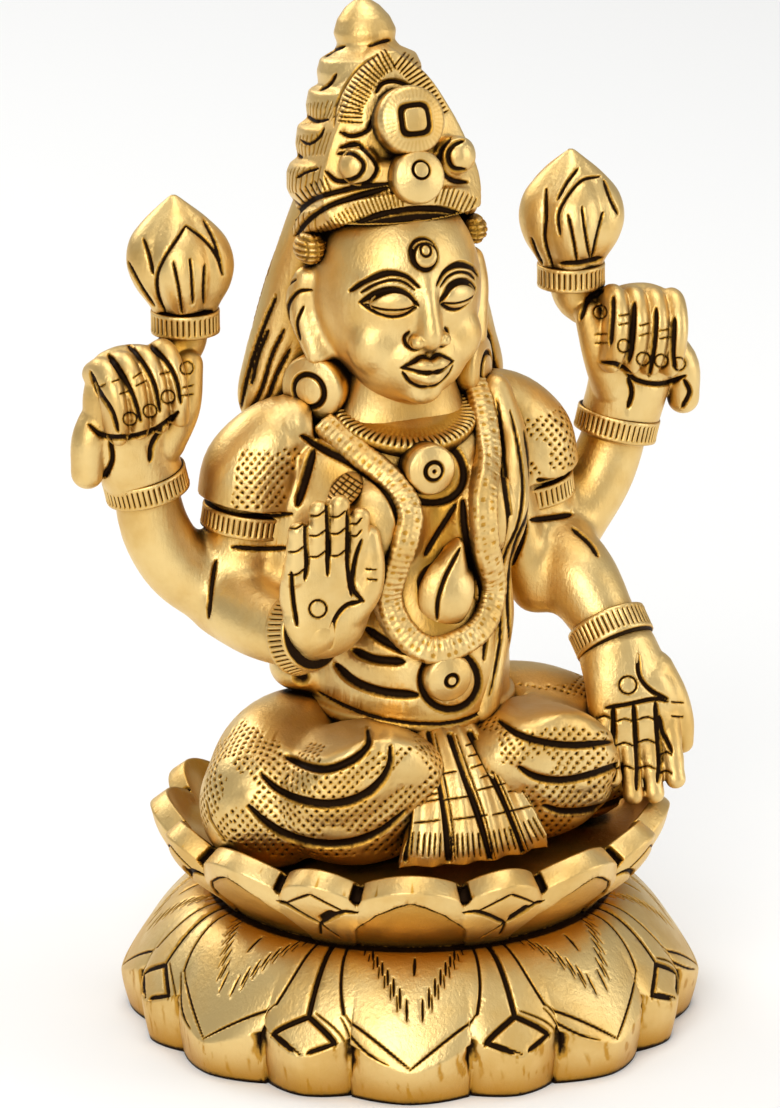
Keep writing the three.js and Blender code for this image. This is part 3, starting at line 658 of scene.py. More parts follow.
def lower_lotus():
    columns = int(1920 / COARSE) // PETAL_PAIRS * PETAL_PAIRS
    angle, from_small, _, is_small, share = petal_angles(columns)
    edge = LOWER_RADIUS - LOWER_NOTCH * share ** 1.6 - SMALL_INSET * is_small
    edge_height = dome_height(edge) - CREASE_DEPTH * share ** 3
    radii = [share * 0 + r for r in (2, 20, 34)]
    heights = [share * 0] * 3
    climbs = [share * 0 - FAR_OFF] * 3
    for rise in np.linspace(0, 1, int(20 / COARSE)):
        radii.append(edge - RIM_UNDERCUT * (1 - rise) ** 1.5)
        heights.append(edge_height * rise)
        climbs.append(np.interp(-edge, -DOME_RADII, DOME_CLIMB) - edge_height * (1 - rise))
    for inward in np.linspace(0, 1, int(112 / COARSE))[1:]:
        radius = edge + (NECK_RADIUS - edge) * inward
        radii.append(radius)
        heights.append(dome_height(radius) - CREASE_DEPTH * (1 - inward) ** 6 * share ** 3)
        climbs.append(np.interp(-radius, -DOME_RADII, DOME_CLIMB))
    for radius in (NECK_RADIUS - 1, 12):
        radii.append(share * 0 + radius)
        heights.append(share * 0 + DOME_HEIGHT + 0.6)
        climbs.append(share * 0 + FAR_OFF)
    radius, height = np.array(radii), np.array(heights)
    grid = np.stack([radius * np.cos(angle), radius * np.sin(angle), height], -1)
    base = Carving(*skin(grid))
    points = base.points
    petal_plans(base, grid, np.array(climbs))
    dome = base.normals[:, 2] > 0.2

    def on_broad(stops, width, **options):
        base.groove(on_dome(stops), width, plan="broad", **options)

    def on_small(stops, width, **options):
        base.groove(on_dome(stops), width, plan="small", **options)

    # broad petals: a border inside each edge, a sharp shoulder, and lines from there to the tip
    border, shoulder = [(18.0, 28.6), (17.4, 32), (16.4, 35), (15.2, 37.0)], [(15.6, 36.4), (14.6, 37.6)]
    for side in (-1, 1):
        on_broad(mirrored(border, side), 0.55, taper=0)
        on_broad(mirrored(shoulder, side), 0.6, taper=0)
        on_broad(mirrored([(14.8, 37.5), (0, 41.75)], side), 0.5, where=dome, taper=0.3)
    on_broad([(-15.2, 37.9), (-8.6, 40.5), (-2.6, 41.9)], 0.4, where=dome)
    # small petals: a line down the middle to a diamond, thick over its shoulders and thin below
    on_small([(0, 28.6), (0.2, 33), (0.3, 38.4)], 1.0, depth=0.45, where=dome, taper=0)
    crown, foot = (0.3, 38.3), (0.3, 41.3)
    for side in (-1, 1):
        waist = (7.2 * side, 40.0)
        on_small([crown, waist], 1.1, depth=0.5, taper=0.08)
        on_small([waist, (1.6 * side, 41.1)], 0.9, depth=0.4, where=dome)
        on_small([waist, (9.6 * side, 39.8)], 0.7, where=dome)
    on_small([(1.6, 37.9), (9.8, 39.6)], 0.36, where=dome)
    on_small([(-6.0, 40.0), foot], 0.36, where=dome)
    # short chisel marks in a V on each broad petal, a little off its middle, and one between them
    marks, off_middle = 7, 0.9
    for mark in range(marks):
        share_down = mark / (marks - 1)
        turn, radius = 11.4 - 9.6 * share_down, 30.0 + 6.9 * share_down
        for side in (-1, 1):
            long_mark = [(side * turn, radius - 0.8), (side * turn * 0.94, radius + 1.2)]
            short_mark = [(side * (turn + 2.2), radius - 1.2), (side * (turn + 2.0), radius + 0.4)]
            for line, width, depth, dark in ((long_mark, 0.5, 0.28, 1.0), (short_mark, 0.36, 0.2, 0.8)):
                shifted = [(x + off_middle, r) for x, r in line]
                on_broad(shifted, width, depth=depth, dark=dark, taper=0.6)
    on_broad([(1.2, 30.6), (0.9, 33.4)], 0.7, depth=0.3, taper=0.7)
    # dirt and file marks down the rim, in the notches between petals
    turn = np.concatenate([np.tile(from_small, len(grid)), [0, 0]])
    down = np.concatenate([(edge_height - height).ravel(), [9, 9]])
    wall = (down > -0.3) & (base.normals[:, 2] < 0.45)
    for side in (-1, 1):
        off = (turn - side * (SMALL_HALF + 0.3)) / (1.0 + 0.25 * ripple(points, 1.7, 6))
        fade = smooth_step(4.6, 1.6, down + 0.8 * ripple(points * [1, 1, 0.2], 0.9, 5))
        streak = np.exp(-off ** 2) * fade * wall
        base.shade(streak)
        base.push(np.flatnonzero(streak > 0.05), 0.45 * streak[streak > 0.05])
    files = wall * 0.30 * smooth_step(0.4, 1.2, ripple(points * [1, 1, 0.08], 0.5, 9))
    base.shade(files)
    reach = np.hypot(points[:, 0], points[:, 1])
    seam = smooth_step(NECK_RADIUS + 1.3, NECK_RADIUS + 0.2, reach) * (points[:, 2] > RIM_HEIGHT)
    base.shade(seam)
    place("lower_lotus", [base.finish()])


def upper_lotus():
    columns = int(1440 / COARSE) // PETAL_PAIRS * PETAL_PAIRS
    foot = DOME_HEIGHT + 1.2
    middle = NECK_RADIUS + 0.6 * (UPPER_RADIUS - NECK_RADIUS)
    under = [(r, DOME_HEIGHT - 0.6, 0, 0, 2) for r in (2, 14, NECK_RADIUS - 1.5)]
    notch = (UPPER_NOTCH, NOTCH_DROP, 1.9)

    def between(stops, steps):
        rows = spline([(r, z, 0, *rest) for r, z, *rest in stops], int(steps / COARSE))
        return [tuple(row[[0, 1, 3, 4, 5]]) for row in rows]

    outer = between([
        (NECK_RADIUS - 0.4, DOME_HEIGHT - 0.2, 0, 0, 2),
        (NECK_RADIUS + 0.6, foot, 0, 0, 2),
        (middle, foot + 4, 0.6, 0, 3),
        (UPPER_RADIUS - 1.0, UPPER_HEIGHT - EDGE_SLOPE - 3.2, 1.8, 1.4, 2),
        (UPPER_RADIUS, UPPER_HEIGHT - EDGE_SLOPE, *notch),
    ], 18)
    bevel = between([
        (UPPER_RADIUS - 0.2, UPPER_HEIGHT - EDGE_SLOPE + 0.25, *notch),
        (UPPER_RADIUS - PETAL_WALL + 0.3, UPPER_HEIGHT - 0.1, *notch),
    ], 16)
    inner = between([
        (UPPER_RADIUS - PETAL_WALL, UPPER_HEIGHT, *notch),
        (UPPER_RADIUS - PETAL_WALL - 1.0, UPPER_HEIGHT - 1.8, UPPER_NOTCH - 0.6, NOTCH_DROP - 0.9, 2),
        (UPPER_RADIUS - PETAL_WALL - 3, SEAT + 0.8, 0.6, 0, 2),
        (UPPER_RADIUS - PETAL_WALL - 5, SEAT, 0, 0, 2),
    ], 9)
    rows = under + outer + bevel + inner + [(r, SEAT, 0, 0, 2) for r in (26, 20, 12, 4)]
    grid = petal_grid(rows, columns)
    cup = Carving(*skin(grid))
    points = cup.points
    table = np.array([(row[0], row[1]) for row in rows])
    climb = climb_table(table[:, 0], table[:, 1])
    start = len(under)
    climb -= climb[start]
    petal_plans(cup, grid, np.repeat(climb[:, None], columns, 1))
    up = cup.plans["small"][0][:, 1]
    rim = start + len(outer) - 1
    tip = climb[rim]
    face = (up > 0.1) & (up < tip + 0.2)
    rim_heights = table[start:rim + 1, 1]

    def on_cup(stops):
        """Degrees from a petal's middle and height on the outside, as a place on its plan"""
        made = []
        for turn, height in stops:
            radius = np.interp(height, rim_heights, table[start:rim + 1, 0])
            made.append((math.radians(turn) * radius, np.interp(height, rim_heights, climb[start:rim + 1])))
        return made

    def on_small(stops, width, **options):
        cup.groove(on_cup(stops), width, plan="small", where=face, curved=False, **options)

    # the broad petals are let in under a pointed arch
    arch = [(-13.8, 22.6), (-11.2, 24.6), (-7.6, 27.0), (-3.4, 28.3), (0, 29.0)]
    arch += [(-turn, height) for turn, height in arch[-2::-1]]
    outline = np.array(on_cup(arch))
    across, climbed = cup.plans["broad"][0].T
    under_arch = np.interp(across, outline[:, 0], outline[:, 1], left=-9, right=-9) - climbed
    sunk = smooth_step(0, 0.5, under_arch) * face * (np.abs(across) < outline[-1, 0])
    cup.cut += 0.35 * sunk
    cup.shade(0.16 * sunk)
    for half in (arch[:5], arch[4:]):
        cup.groove(on_cup(half), 0.5, depth=0.5, plan="broad", where=face, curved=False)
    # the small ones hold a diamond over a deep cut
    for side in (-1, 1):
        on_small([(0, 29.5), (7.0 * side, 27.7)], 0.5)
        on_small([(9.6 * side, 28.4), (7.0 * side, 27.6), (0.6, 24.0)], 0.95, depth=0.5)
        on_small([(0.6, 24.2), (2.8 * side, 20.6)], 0.55)
    on_small([(5.4, 27.0), (1.4, 24.9)], 2.0, depth=0.7)
    # slots where two petals meet at the edge, and file marks over it
    over = (up > tip - 2.2) & (up < climb[rim + len(bevel)] + 1.2)
    notch_at = math.radians(SMALL_HALF) * (UPPER_RADIUS - UPPER_NOTCH)
    for path in both_ways([(notch_at, tip - 0.6), (notch_at * 0.94, tip + 3.4)]):
        cup.groove(path, 1.5, depth=0.9, plan="small", where=over)
    edge_band = (up > tip) & (up < climb[rim + len(bevel)])
    cup.shade(0.3 * edge_band * smooth_step(0.6, 1.4, ripple(points, 0.9, 3)))
    inside = (up > climb[rim + len(bevel)] + 0.3) & (points[:, 2] > SEAT - 0.5)
    cup.shade(inside * (0.16 + 0.08 * ripple(points, 6, 8)))
    place("upper_lotus", [cup.finish()])


PUNCH = (0.98, 0.3, 0.26)  # spacing, radius and depth of the marks punched in the cloth


def thigh_and_lap(side):
    knee = 10.4 if side > 0 else 9.0
    width = 9.8
    return [
        tube(mirrored([(8, 8, 9, 11, 11), (18, 1, 10.8, 11.3, 11.6), (24.4, -5, knee, width, 10.6)], side)),
        stacked([
            (-4, 12, 9.8, -8.3), (1, 13, 10.4, -8.9), (5, 12.6, 9.9, -8.4), (8, 10.6, 8.0, -6.5),
            (9.8, 8.4, 6.0, -4.5), (10.9, 5.8, 4.0, -2.6), (11.6, 3.0, 1.8, -0.4),
        ], (13.6 * side, -11, 20), (0.1 * side, -1, 0.12)),
    ]


def skirt():
    body = [egg((0, 2, 6), (22, 18, 9))]
    for side in (-1, 1):
        body += thigh_and_lap(side)
    soft = cast(body, pitch=0.7, rounds=8)
    cloth = carved([soft], pitch=0.27, rounds=3)
    right_folds = [
        [(286, 756), (305, 765), (325, 769), (345, 764), (360, 755), (369, 742), (367, 728)],
        [(262, 775), (280, 791), (302, 801), (330, 805), (360, 798), (380, 783), (390, 765), (391, 746)],
        [(248, 806), (265, 822), (285, 835), (310, 843), (335, 845), (360, 841), (385, 829), (406, 811)],
    ]
    left_folds = [
        [(498, 720), (520, 735), (545, 743), (575, 746), (612, 742)],
        [(518, 767), (535, 777), (560, 781), (592, 775), (625, 762)],
        [(543, 806), (562, 812), (592, 810), (622, 800), (650, 782)],
    ]
    for fold in right_folds + left_folds:
        cloth.swell([(px, py - 9) for px, py in fold], 3.6, 0.3)
        cloth.swell([(px, py + 10) for px, py in fold], 3.0, 0.12)
    cloth.finish()
    cloth.grooves(right_folds, 1.5, depth=0.85, taper=0.3)
    cloth.grooves(left_folds, 1.25, depth=0.6, taper=0.2)
    knee_line = [(206, 800), (212, 822), (226, 842)]
    cloth.groove(knee_line, 0.4, dark=0.6)
    right_thigh, left_thigh = [(262, 712), (320, 726), (372, 735)], [(520, 700), (560, 708), (600, 716)]
    right_shin = [(200, 850), (300, 875), (380, 865)]
    # painted shade: broad amber bands laid over both thighs and the right shin
    cloth.paint_shade(right_thigh, 9, 0.12)
    cloth.paint_shade(left_thigh, 8, 0.12)
    cloth.paint_shade(right_shin, 7, 0.14)
    # folds over the far knee and behind
    far_knee = cloth.points[:, 0] > 24
    for lift in (0, 4.5, 9):
        floor = SEAT + lift
        arc = [(-12 + 0.4 * lift, floor + 4), (-4, floor + 1.5), (4, floor + 2), (10, floor + 6)]
        cloth.groove(arc, 1.0, plan="left", where=far_knee)
    behind = [(-18, SEAT + 5), (-8, SEAT + 2.5), (0, SEAT + 2), (8, SEAT + 2.5), (18, SEAT + 5)]
    cloth.grooves([behind, [(px, pz + 4.5) for px, pz in behind]], 0.9, plan="back")
    patchy = ripple(cloth.points, 8, 2) > -0.5
    height = cloth.points[:, 2] - SEAT
    cloth.punched(*PUNCH, patchy & (cloth.dark < 0.05) & (height > 1.5) & (height < 21))
    place("skirt", [cloth.finish()])


def pleats():
    """Pleated fall of the skirt between the legs"""
    rows = spline([
        (21.5, -12.5, 0, 5.6), (17, -20.2, 0, 7.2), (11.5, -24.4, 0, 9), (5.6, -26.6, 0, 11.2),
        (3.4, -26.2, 0, 11.6),
    ], 8)
    rings = []
    share = np.linspace(-1, 1, 61)
    for z, y, _, half in rows:
        wave = 0.45 * np.cos(share * math.pi * 5) + 0.45
        front = np.stack([half * share, y + 2.6 * share ** 2 + wave, z + 0 * share], 1)
        back = np.stack([0.9 * half * share[::-1], y + 5.5 + 0 * share, z + 0 * share], 1)
        rings.append(np.vstack([front, back]) + LIFT)
    cloth = carved([skin(rings)], pitch=0.2, rounds=3)
    valleys = [
        [(429, 733), (437, 770), (445, 815), (449, 860)],
        [(450, 735), (464, 775), (478, 815), (490, 860)],
        [(470, 733), (490, 772), (508, 812), (525, 856)],
        [(488, 733), (512, 770), (536, 806), (556, 840)],
        [(404, 742), (411, 790), (406, 860)],
    ]
    cloth.grooves(valleys, 1.0, depth=0.6, taper=0)
    doubles = [[(px + 6, py) for px, py in path] for path in valleys[:3]]
    cloth.grooves(doubles, 0.35, depth=0.2, dark=0.8)
    first_pleat = [(424, 742), (428, 775), (433, 806)]
    cloth.hatch(first_pleat, 6.2, 18, 0.36, dark=0.9)
    threads = [
        [(414, 823), (440, 820)], [(440, 774), (457, 771)], [(444, 800), (470, 796)],
        [(450, 820), (488, 815)], [(466, 745), (478, 742)], [(468, 756), (482, 753)],
        [(470, 768), (486, 763)], [(478, 790), (506, 783)], [(492, 815), (532, 806)],
        [(498, 772), (514, 765)], [(508, 792), (524, 786)], [(480, 778), (500, 771)],
    ]
    cloth.grooves(threads, 0.36, dark=0.9)
    hem = [(404, 843), (450, 846), (490, 843), (525, 834), (556, 818)]
    cloth.hatch(hem, 5.6, 24, 0.36, dark=0.9)
    place("pleats", [cloth.finish()])


# The sleeves end at slightly different heights, and each armlet is held under its hem
HEMS = {-1: 50.2, 1: 49.6}
ARMLET_DROP, ARMLET_WIDTH = 1.0, 3.2
TUCK = {-1: 0, 1: 1.2}  # how far the raised forearm keeps to the body


def trunk():
    body = [
        tube([
            (0, 3, 5, 20, 13.5), (0, 1, 14, 16.5, 14), (0, -0.4, 20.5, 14.4, 13.8), (0, -0.5, 28, 14, 14.6),
            (0, 0.4, 36, 13, 12.8), (0, 1.5, 44, 14, 10.6), (0, 2.2, 52, 16.2, 10.4),
            (0, 4.5, 58, 16.8, 8.8), (0, 5, 62, 11, 7.4), (0, 5, 71, 7, 7),
        ], sides=48),
        egg((-8, -6.6, 49), (7, 6.2, 7)),
        egg((8, -6.6, 49), (7, 6.2, 7)),
        egg((-15, 5, 25), (4.6, 6, 3.4)),
        tube([(-16.4, 4, 51, 3.2, 4.5), (-17.4, 4, 44, 3.4, 4.5), (-18.6, 3.4, 39, 3.2, 4.2)]),
        tube([(16.8, 4, 48, 3.2, 4.5), (18, 3, 40, 4.2, 4.5), (20.4, 1.5, 33.6, 4, 4.2)]),
    ]
    for side, hem in HEMS.items():
        body += [
            tube(mirrored([
                (21.4, 8, hem + 3, 5.6), (22.3, 8, hem - 5, 5.8), (25.4, 7.4, 36.4, 6.2),
            ], side)),
            tube(mirrored([
                (25.6, 7.6, 36.8, 5.4, 5.6), (31.4 - 2 * TUCK[side], 9, 40.6, 5.3, 5.5),
                (35.2 - TUCK[side], 10, 46.8, 5.1), (36.7, 10, 54, 4.7), (37, 9.6, 58, 4.6),
            ], side)),
        ]
    right_forearm = [
        (-25.6, 6, 36.4, 6), (-23.4, -2, 35, 5.4), (-20.6, -8, 34.8, 4.7), (-19, -10.6, 36.5, 4.4),
    ]
    left_forearm = [(24.6, 5, 38, 6), (26, -1.4, 35, 5.8), (27.8, -6, 30, 4.9), (29, -9.5, 25.5, 4.4)]
    body += [tube(right_forearm), tube(left_forearm)]
    soft = cast(body, pitch=0.7, rounds=7)
    # the short sleeves end in a step over the arm, and a belt runs round the waist
    crisp = [tube(mirrored([
        (13, 6, 60, 4, 5), (17.4, 7, 59.6, 5.4, 6), (20.6, 8, 55, 7.4), (21.6, 8, hem, 7.6),
    ], side), sides=40, rounded=False) for side, hem in HEMS.items()]
    crisp.append(tube([(0, -0.4, 19.6, 15.1, 14.2), (0, -0.4, 21.7, 15.1, 14.2)], sides=64, rounded=False))
    torso = carved([soft] + crisp, pitch=0.27, rounds=3)
    front_arm = torso.points[:, 1] < -9
    front_side = (torso.points[:, 0] < 18) & (torso.points[:, 1] < 3)
    # the second line is cut along the garland's outer edge and on round the breast; along the garland its
    # darkness is painted shadow of the garland
    chest_lines_and_garland_shadow = [
        [(313, 449), (306, 474), (297, 506)],
        [(302, 436), (330, 452), (360, 468), (384, 487), (398, 512), (402, 540), (392, 566)],
        [(462, 500), (464, 530), (472, 560), (480, 590), (481, 612)],
    ]
    torso.grooves(chest_lines_and_garland_shadow, 1.5, depth=0.7, where=~front_arm | (torso.points[:, 0] > -15))
    belly = [
        [(352, 650), (372, 659), (404, 662)],
        [(334, 664), (352, 681), (380, 692), (418, 696)],
        [(364, 628), (384, 641), (408, 652)],
    ]
    torso.grooves(belly, 1.6, depth=0.8)
    drapery = [
        [(484, 400), (486, 440), (484, 480), (487, 530), (490, 570), (488, 620), (484, 660)],
        [(494, 400), (500, 450), (506, 490), (510, 530), (503, 570), (499, 610), (497, 650)],
        [(508, 430), (519, 462), (528, 500), (524, 535), (512, 566)],
    ]
    torso.grooves(drapery, 1.0, depth=0.5, where=front_side)
    upper_medallion, lower_medallion, navel = (433, 472), (450, 681), (301, 677)
    torso.ring(upper_medallion, 31, 1.3, where=front_side)
    torso.ring(lower_medallion, 29, 1.3, where=front_side)
    inside_garland = [(436, 440), (442, 500), (440, 560), (440, 620)]
    right_breast = [(330, 470), (350, 500), (340, 560), (330, 620)]
    waist = [(300, 690), (350, 712), (430, 724), (490, 712)]
    # painted shade: broad amber bands inside the garland, over the right breast and round the waist
    torso.paint_shade(inside_garland, 13, 0.2)
    torso.paint_shade(right_breast, 8, 0.12)
    torso.paint_shade(waist, 6, 0.13)
    cloth_lines = [
        (0.9, [(396, 640), (412, 652), (434, 660)]), (0.9, [(300, 700), (318, 716), (340, 724)]),
        (1.0, [(455, 504), (440, 530), (425, 556)]),
    ]
    arm_lines = [
        (0.9, [(232, 547), (260, 549), (288, 548)]), (0.9, [(204, 513), (240, 517), (292, 514)]),
        (1.0, [(537, 480), (552, 482), (570, 478)]), (1.0, [(531, 520), (550, 518), (572, 514)]),
        (0.8, [(216, 560), (211, 590), (208, 618)]), (0.8, [(598, 556), (590, 544), (572, 528)]),
    ]
    belt_line = [(318, 692), (345, 706), (380, 718), (420, 724), (460, 721), (495, 706)]
    for width, stops in cloth_lines + arm_lines + [(0.7, belt_line)]:
        torso.groove(stops, width)
    torso.pit(np.array(navel), 1.3, 1.0)
    spine = [(0, SEAT + 44), (0, SEAT + 36), (0, SEAT + 26)]
    torso.groove(spine, 1.4, depth=0.5, dark=0.5, plan="back")
    torso.groove([(-14, SEAT + 33), (-6, SEAT + 30.5), (6, SEAT + 30.5), (14, SEAT + 33)], 0.9, plan="back")
    out, back, height = np.abs(torso.points[:, 0]), torso.points[:, 1], torso.points[:, 2] - SEAT
    sleeve = (out > 15.5) & (out < 30.5) & (back > -1.5)
    sleeve &= (height > max(HEMS.values()) + 1) & (height < 59.5)
    sleeve &= ripple(torso.points, 8, 4) > -0.55
    # in front the right sleeve is punched in one leaning patch, given in the photograph's pixels
    patch_across, patch_down, half_width, half_height = 266, 472, 30, 42
    lean, upright_at = 0.16, 470
    across, down = torso.plans["photo"][0].T
    in_front = torso.plans["photo"][1] & (torso.points[:, 0] < 0)
    off_across = (across - patch_across + lean * (down - upright_at)) / half_width
    off_down = (down - patch_down) / half_height
    patch = off_across ** 4 + off_down ** 4 < 1 + 0.3 * ripple(torso.points, 3, 7)
    sleeve &= ~in_front | patch
    torso.punched(*PUNCH, sleeve & (torso.dark < 0.05))
    place("trunk_and_arms", [torso.finish()])


def milled_band(stops, ridges, profile, depth):
    """A band round a limb: rows of share along it, height over its two stops and depth of cut"""
    start, end = np.array(with_depth(stops), float)
    columns = 7 * ridges
    cos, sin = circle(columns)
    wave = 0.5 + 0.5 * np.cos(np.linspace(0, 2 * np.pi, columns, endpoint=False) * ridges)
    wave = wave ** 0.7
    axis = unit(end[:3] - start[:3])
    across = np.array([1.0, 0, 0])
    u = unit(across - axis * (axis @ across))
    v = np.cross(axis, u)
    rings, darks = [], []
    for share, rise, cut in profile:
        row = start + (end - start) * share
        swell = rise - depth * cut * (1 - wave)
        wide, deep = cos * (row[3] + swell), sin * (row[4] + swell)
        rings.append(row[:3] + LIFT + wide[:, None] * u + deep[:, None] * v)
        darks.append(cut * 0.85 * smooth_step(0.45, 0.95, 1 - wave) + (0.9 if rise < -0.25 else 0.0))
    return shaded_skin(rings, darks)


# a flat band: dark seam, plain lip, milled middle, plain lip, dark seam, as share, height and depth of cut
BAND_PROFILE = [
    (-0.06, -0.9, 0), (-0.02, -0.3, 0), (0.02, 0.0, 0), (0.12, 0.06, 0.1), (0.2, 0.02, 1),
    (0.8, 0.02, 1), (0.88, 0.06, 0.1), (0.98, 0.0, 0), (1.02, -0.3, 0), (1.06, -0.9, 0),
]


def bands():
    """Armlets, bangles and the collars of the two buds"""
    made = []

    def band(stops, ridges):
        made.append(milled_band(stops, ridges, BAND_PROFILE, 0.2))

    for side in (-1, 1):
        top = HEMS[side] - ARMLET_DROP
        band(mirrored([(21.8, 8, top, 6.5), (22.3, 8, top - ARMLET_WIDTH, 6.5)], side), 46)
        band(mirrored([(36.3, 10, 52.5, 6.1), (37.1, 10, 55.8, 6.1)], side), 46)
        band(mirrored([(29.9, 11.4, 75.4, 4.9), (29.9, 11.5, 78.8, 4.9)], side), 36)
    band([(-20.9, -7.3, 34.6, 5.9), (-19.4, -10.4, 35.6, 5.9, 5.3)], 44)
    band([(28, -6.1, 29.9, 5.9), (28.6, -8.6, 27.0, 5.9, 5.9)], 44)
    place("bands", made)


def jewel(centre, axis, radius, height, rings=(0.5,), square=False, off=0.0, rays=0, dot=False, line=0.1):
    """A round jewel with engraved rings that may stand off its middle, fine rays or a drilled dot"""
    shoulder = [(1.0, 0.1), (0.985, 0.3), (0.955, 0.47), (0.915, 0.6)]
    rows = [(0.6 * radius, -5.6), (radius, -2.5)]
    rows += [(radius * across, up * height) for across, up in shoulder]
    for share in np.linspace(0, 1, int(34 / COARSE))[1:]:
        up = 0.63 * height + 0.57 * height * math.sin(share * math.pi / 2)
        rows.append((radius * (0.9 - 0.88 * share), up))
    points, faces = turned(rows, centre, axis, int(120 / COARSE))
    local = (points - (np.asarray(centre) + LIFT)) @ frame_on(axis)
    upward = frame_on(axis).T @ np.array([0, 0, 1.0])
    local[:, :2] -= off * radius * upward[:2]
    piece = Carving(points, faces)
    if square:
        reach = (np.abs(local[:, 0]) ** 4 + np.abs(local[:, 1]) ** 4) ** 0.25
    else:
        reach = np.hypot(local[:, 0], local[:, 1])
    top = local[:, 2] > 0.2 * height
    for share in rings:
        gap = np.abs(reach - share * radius) / (line * radius)
        piece.engrave(0.5 * np.clip(1 - gap ** 2, 0, 1) * top, np.clip(1.5 * (1.1 - gap), 0, 1) * top)
    if rays:
        turn = np.arctan2(local[:, 1], local[:, 0]) / (2 * np.pi) * rays
        ray = np.clip(1 - np.abs(turn % 1 - 0.5) / 0.22, 0, 1) * top * (reach > 0.6 * radius)
        piece.engrave(0.12 * ray, 0.4 * ray)
    if dot:
        spot = np.clip(1.6 * (1.1 - reach / (0.1 * radius)), 0, 1) * top
        piece.engrave(0.4 * spot, spot)
    piece.shade(smooth_step(0.1 * height, -0.4 * height, local[:, 2]))
    return piece.finish()


def jewels():
    parts = [
        jewel((-0.6, -8.7, 57.2), (0.0, -1, 0.1), 3.7, 1.5, (0.36,), dot=True),
        jewel((-0.5, -15.0, 28), (0.0, -1, -0.05), 3.6, 1.6, (0.26,)),
        jewel((0, -2.7, 98.8), (0, -1, 0.3), 3.9, 1.6, (0.33,), off=0.26, line=0.06),
        jewel((0, -0.1, 106.4), (0, -1, 0.36), 5, 1.8, (0.42,), square=True, rays=40),
    ]
    for side in (-1, 1):
        parts.append(jewel((12.6 * side, 5.6, 66.6), (0.76 * side, -0.65, 0), 4.9, 1.6, (0.5,)))
    place("jewels", parts)


LET_IN = 1.3  # the strands are deeper behind, so that no gap is left


def rope(stops, depth, width, twist):
    """A garland strand: a flat band with rounded edges, under a fine low net of scales"""
    sides, steps = 40, 28
    path = spline(stops, int(steps / COARSE))
    forward = np.array([0, -1, 0.2])
    axis = unit(np.gradient(path, axis=0))
    u = unit(forward - (axis @ forward)[:, None] * axis)
    v = np.cross(axis, u)
    run = np.concatenate([[0], np.cumsum(np.linalg.norm(np.diff(path, axis=0), axis=1))])[:, None]
    angle = np.linspace(0, 2 * np.pi, sides, endpoint=False)[None]
    slant = run * 2 * np.pi / twist
    scales = 1.4 * np.cos(slant + 4 * angle) * np.cos(slant - 4 * angle)
    scales = scales + 0.6 * np.sin(0.73 * slant + 3 * angle + np.sin(0.31 * slant))
    rise = 0.085 * scales
    flat_cos = np.sign(np.cos(angle)) * np.abs(np.cos(angle)) ** 0.6
    reach = np.where(flat_cos > 0, depth, depth + 2 * LET_IN)
    rings = path[:, None] + LIFT + (flat_cos * (reach + rise))[..., None] * u[:, None]
    rings = rings + (np.sin(angle) * (width + 0.5 * rise))[..., None] * v[:, None]
    return shaded_skin(rings, 0.36 * smooth_step(0.6, 1.6, -scales))


GARLAND = [
    (-12, 3, 62), (-8.8, -3.6, 58.6), (-5.6, -8, 55.2), (-4.9, -11.4, 52), (-6.1, -12.8, 48.6),
    (-7.4, -11.8, 43.6), (-7.8, -10.8, 39.2), (-6.4, -12.4, 34.9), (-3.4, -14.4, 32.3), (0.3, -14.9, 32.4),
    (5.6, -13, 34.2), (8.4, -10.6, 38.4), (6.5, -12.6, 46.2), (6.4, -12, 52.6), (9.8, -5.4, 57.2),
    (11.2, 0.4, 62.4), (11.6, 4, 65),
]
SCARF = [
    (14.6, 3, 63), (15, -2, 57), (13.2, -6.8, 53.2), (11.5, -10, 49), (9.8, -8.2, 42.2), (10, -8.6, 33.2),
    (7.4, -11.2, 25.6), (6.2, -12, 20.6),
]
GARLAND_DEPTH, GARLAND_HALF, GARLAND_TWIST = 1.3, 1.95, 1.9
SCARF_HALF, SCARF_DEPTH = 2.7, 2.2


def garland():
    place("garland", [rope(GARLAND, GARLAND_DEPTH, GARLAND_HALF, GARLAND_TWIST)])


def scarf():
    """A plain band of cloth with a few lines cut along it"""
    stops = [(x, y + LET_IN, z, SCARF_HALF, SCARF_DEPTH + LET_IN) for x, y, z in SCARF]
    strip = Carving(*tube(stops, sides=int(64 / COARSE), steps=14))
    folds = [
        [(497, 400), (502, 450), (507, 500), (501, 540), (493, 570), (489, 620), (485, 660), (476, 705)],
        [(510, 410), (519, 450), (523, 490), (518, 525), (505, 555), (499, 590), (500, 640), (490, 695)],
        [(524, 430), (530, 470), (530, 508), (515, 545), (508, 590), (510, 640)],
    ]
    strip.grooves(folds, 0.6)
    place("scarf", [strip.finish()])


def collar():
    """The necklace: an oval plate with a milled edge"""
    outer = int(420 / COARSE)
    teeth = 66
    wave = 0.5 + 0.5 * np.cos(np.linspace(0, 2 * np.pi, outer, endpoint=False) * teeth)
    cos, sin = circle(outer)
    # height, half width, half depth, depth of cut and darkness
    rows = [
        (-1.3, 9.6, 8.4, 0, 0), (-1.1, 10.6, 9.4, 0, 0.9), (0.2, 10.75, 9.55, 0, 0.5),
        (0.9, 10.6, 9.4, 0.4, 0), (1.25, 10.2, 9.0, 1, 0), (1.35, 9.7, 8.6, 1, 0),
        (1.3, 9.1, 8.0, 1, 0), (1.2, 8.5, 7.4, 0.6, 0), (1.1, 8.1, 7.0, 0, 0.3),
        (1.6, 6.4, 5.6, 0, 0.14), (2.4, 4, 3.4, 0, 0), (2.6, 1, 1, 0, 0),
    ]
    centre, axis = np.array([0, 2.4, 62.4]), (0, -0.38, 1)
    rings, darks = [], []
    for height, width, depth, cut, dark in rows:
        rings.append(np.stack([cos * width, sin * depth, height - 0.3 * cut * (1 - wave)], 1))
        darks.append(0.9 * cut * smooth_step(0.4, 0.9, 1 - wave) + dark)
    place("collar", [shaded_skin(np.array(rings) @ frame_on(axis).T + centre + LIFT, darks)])


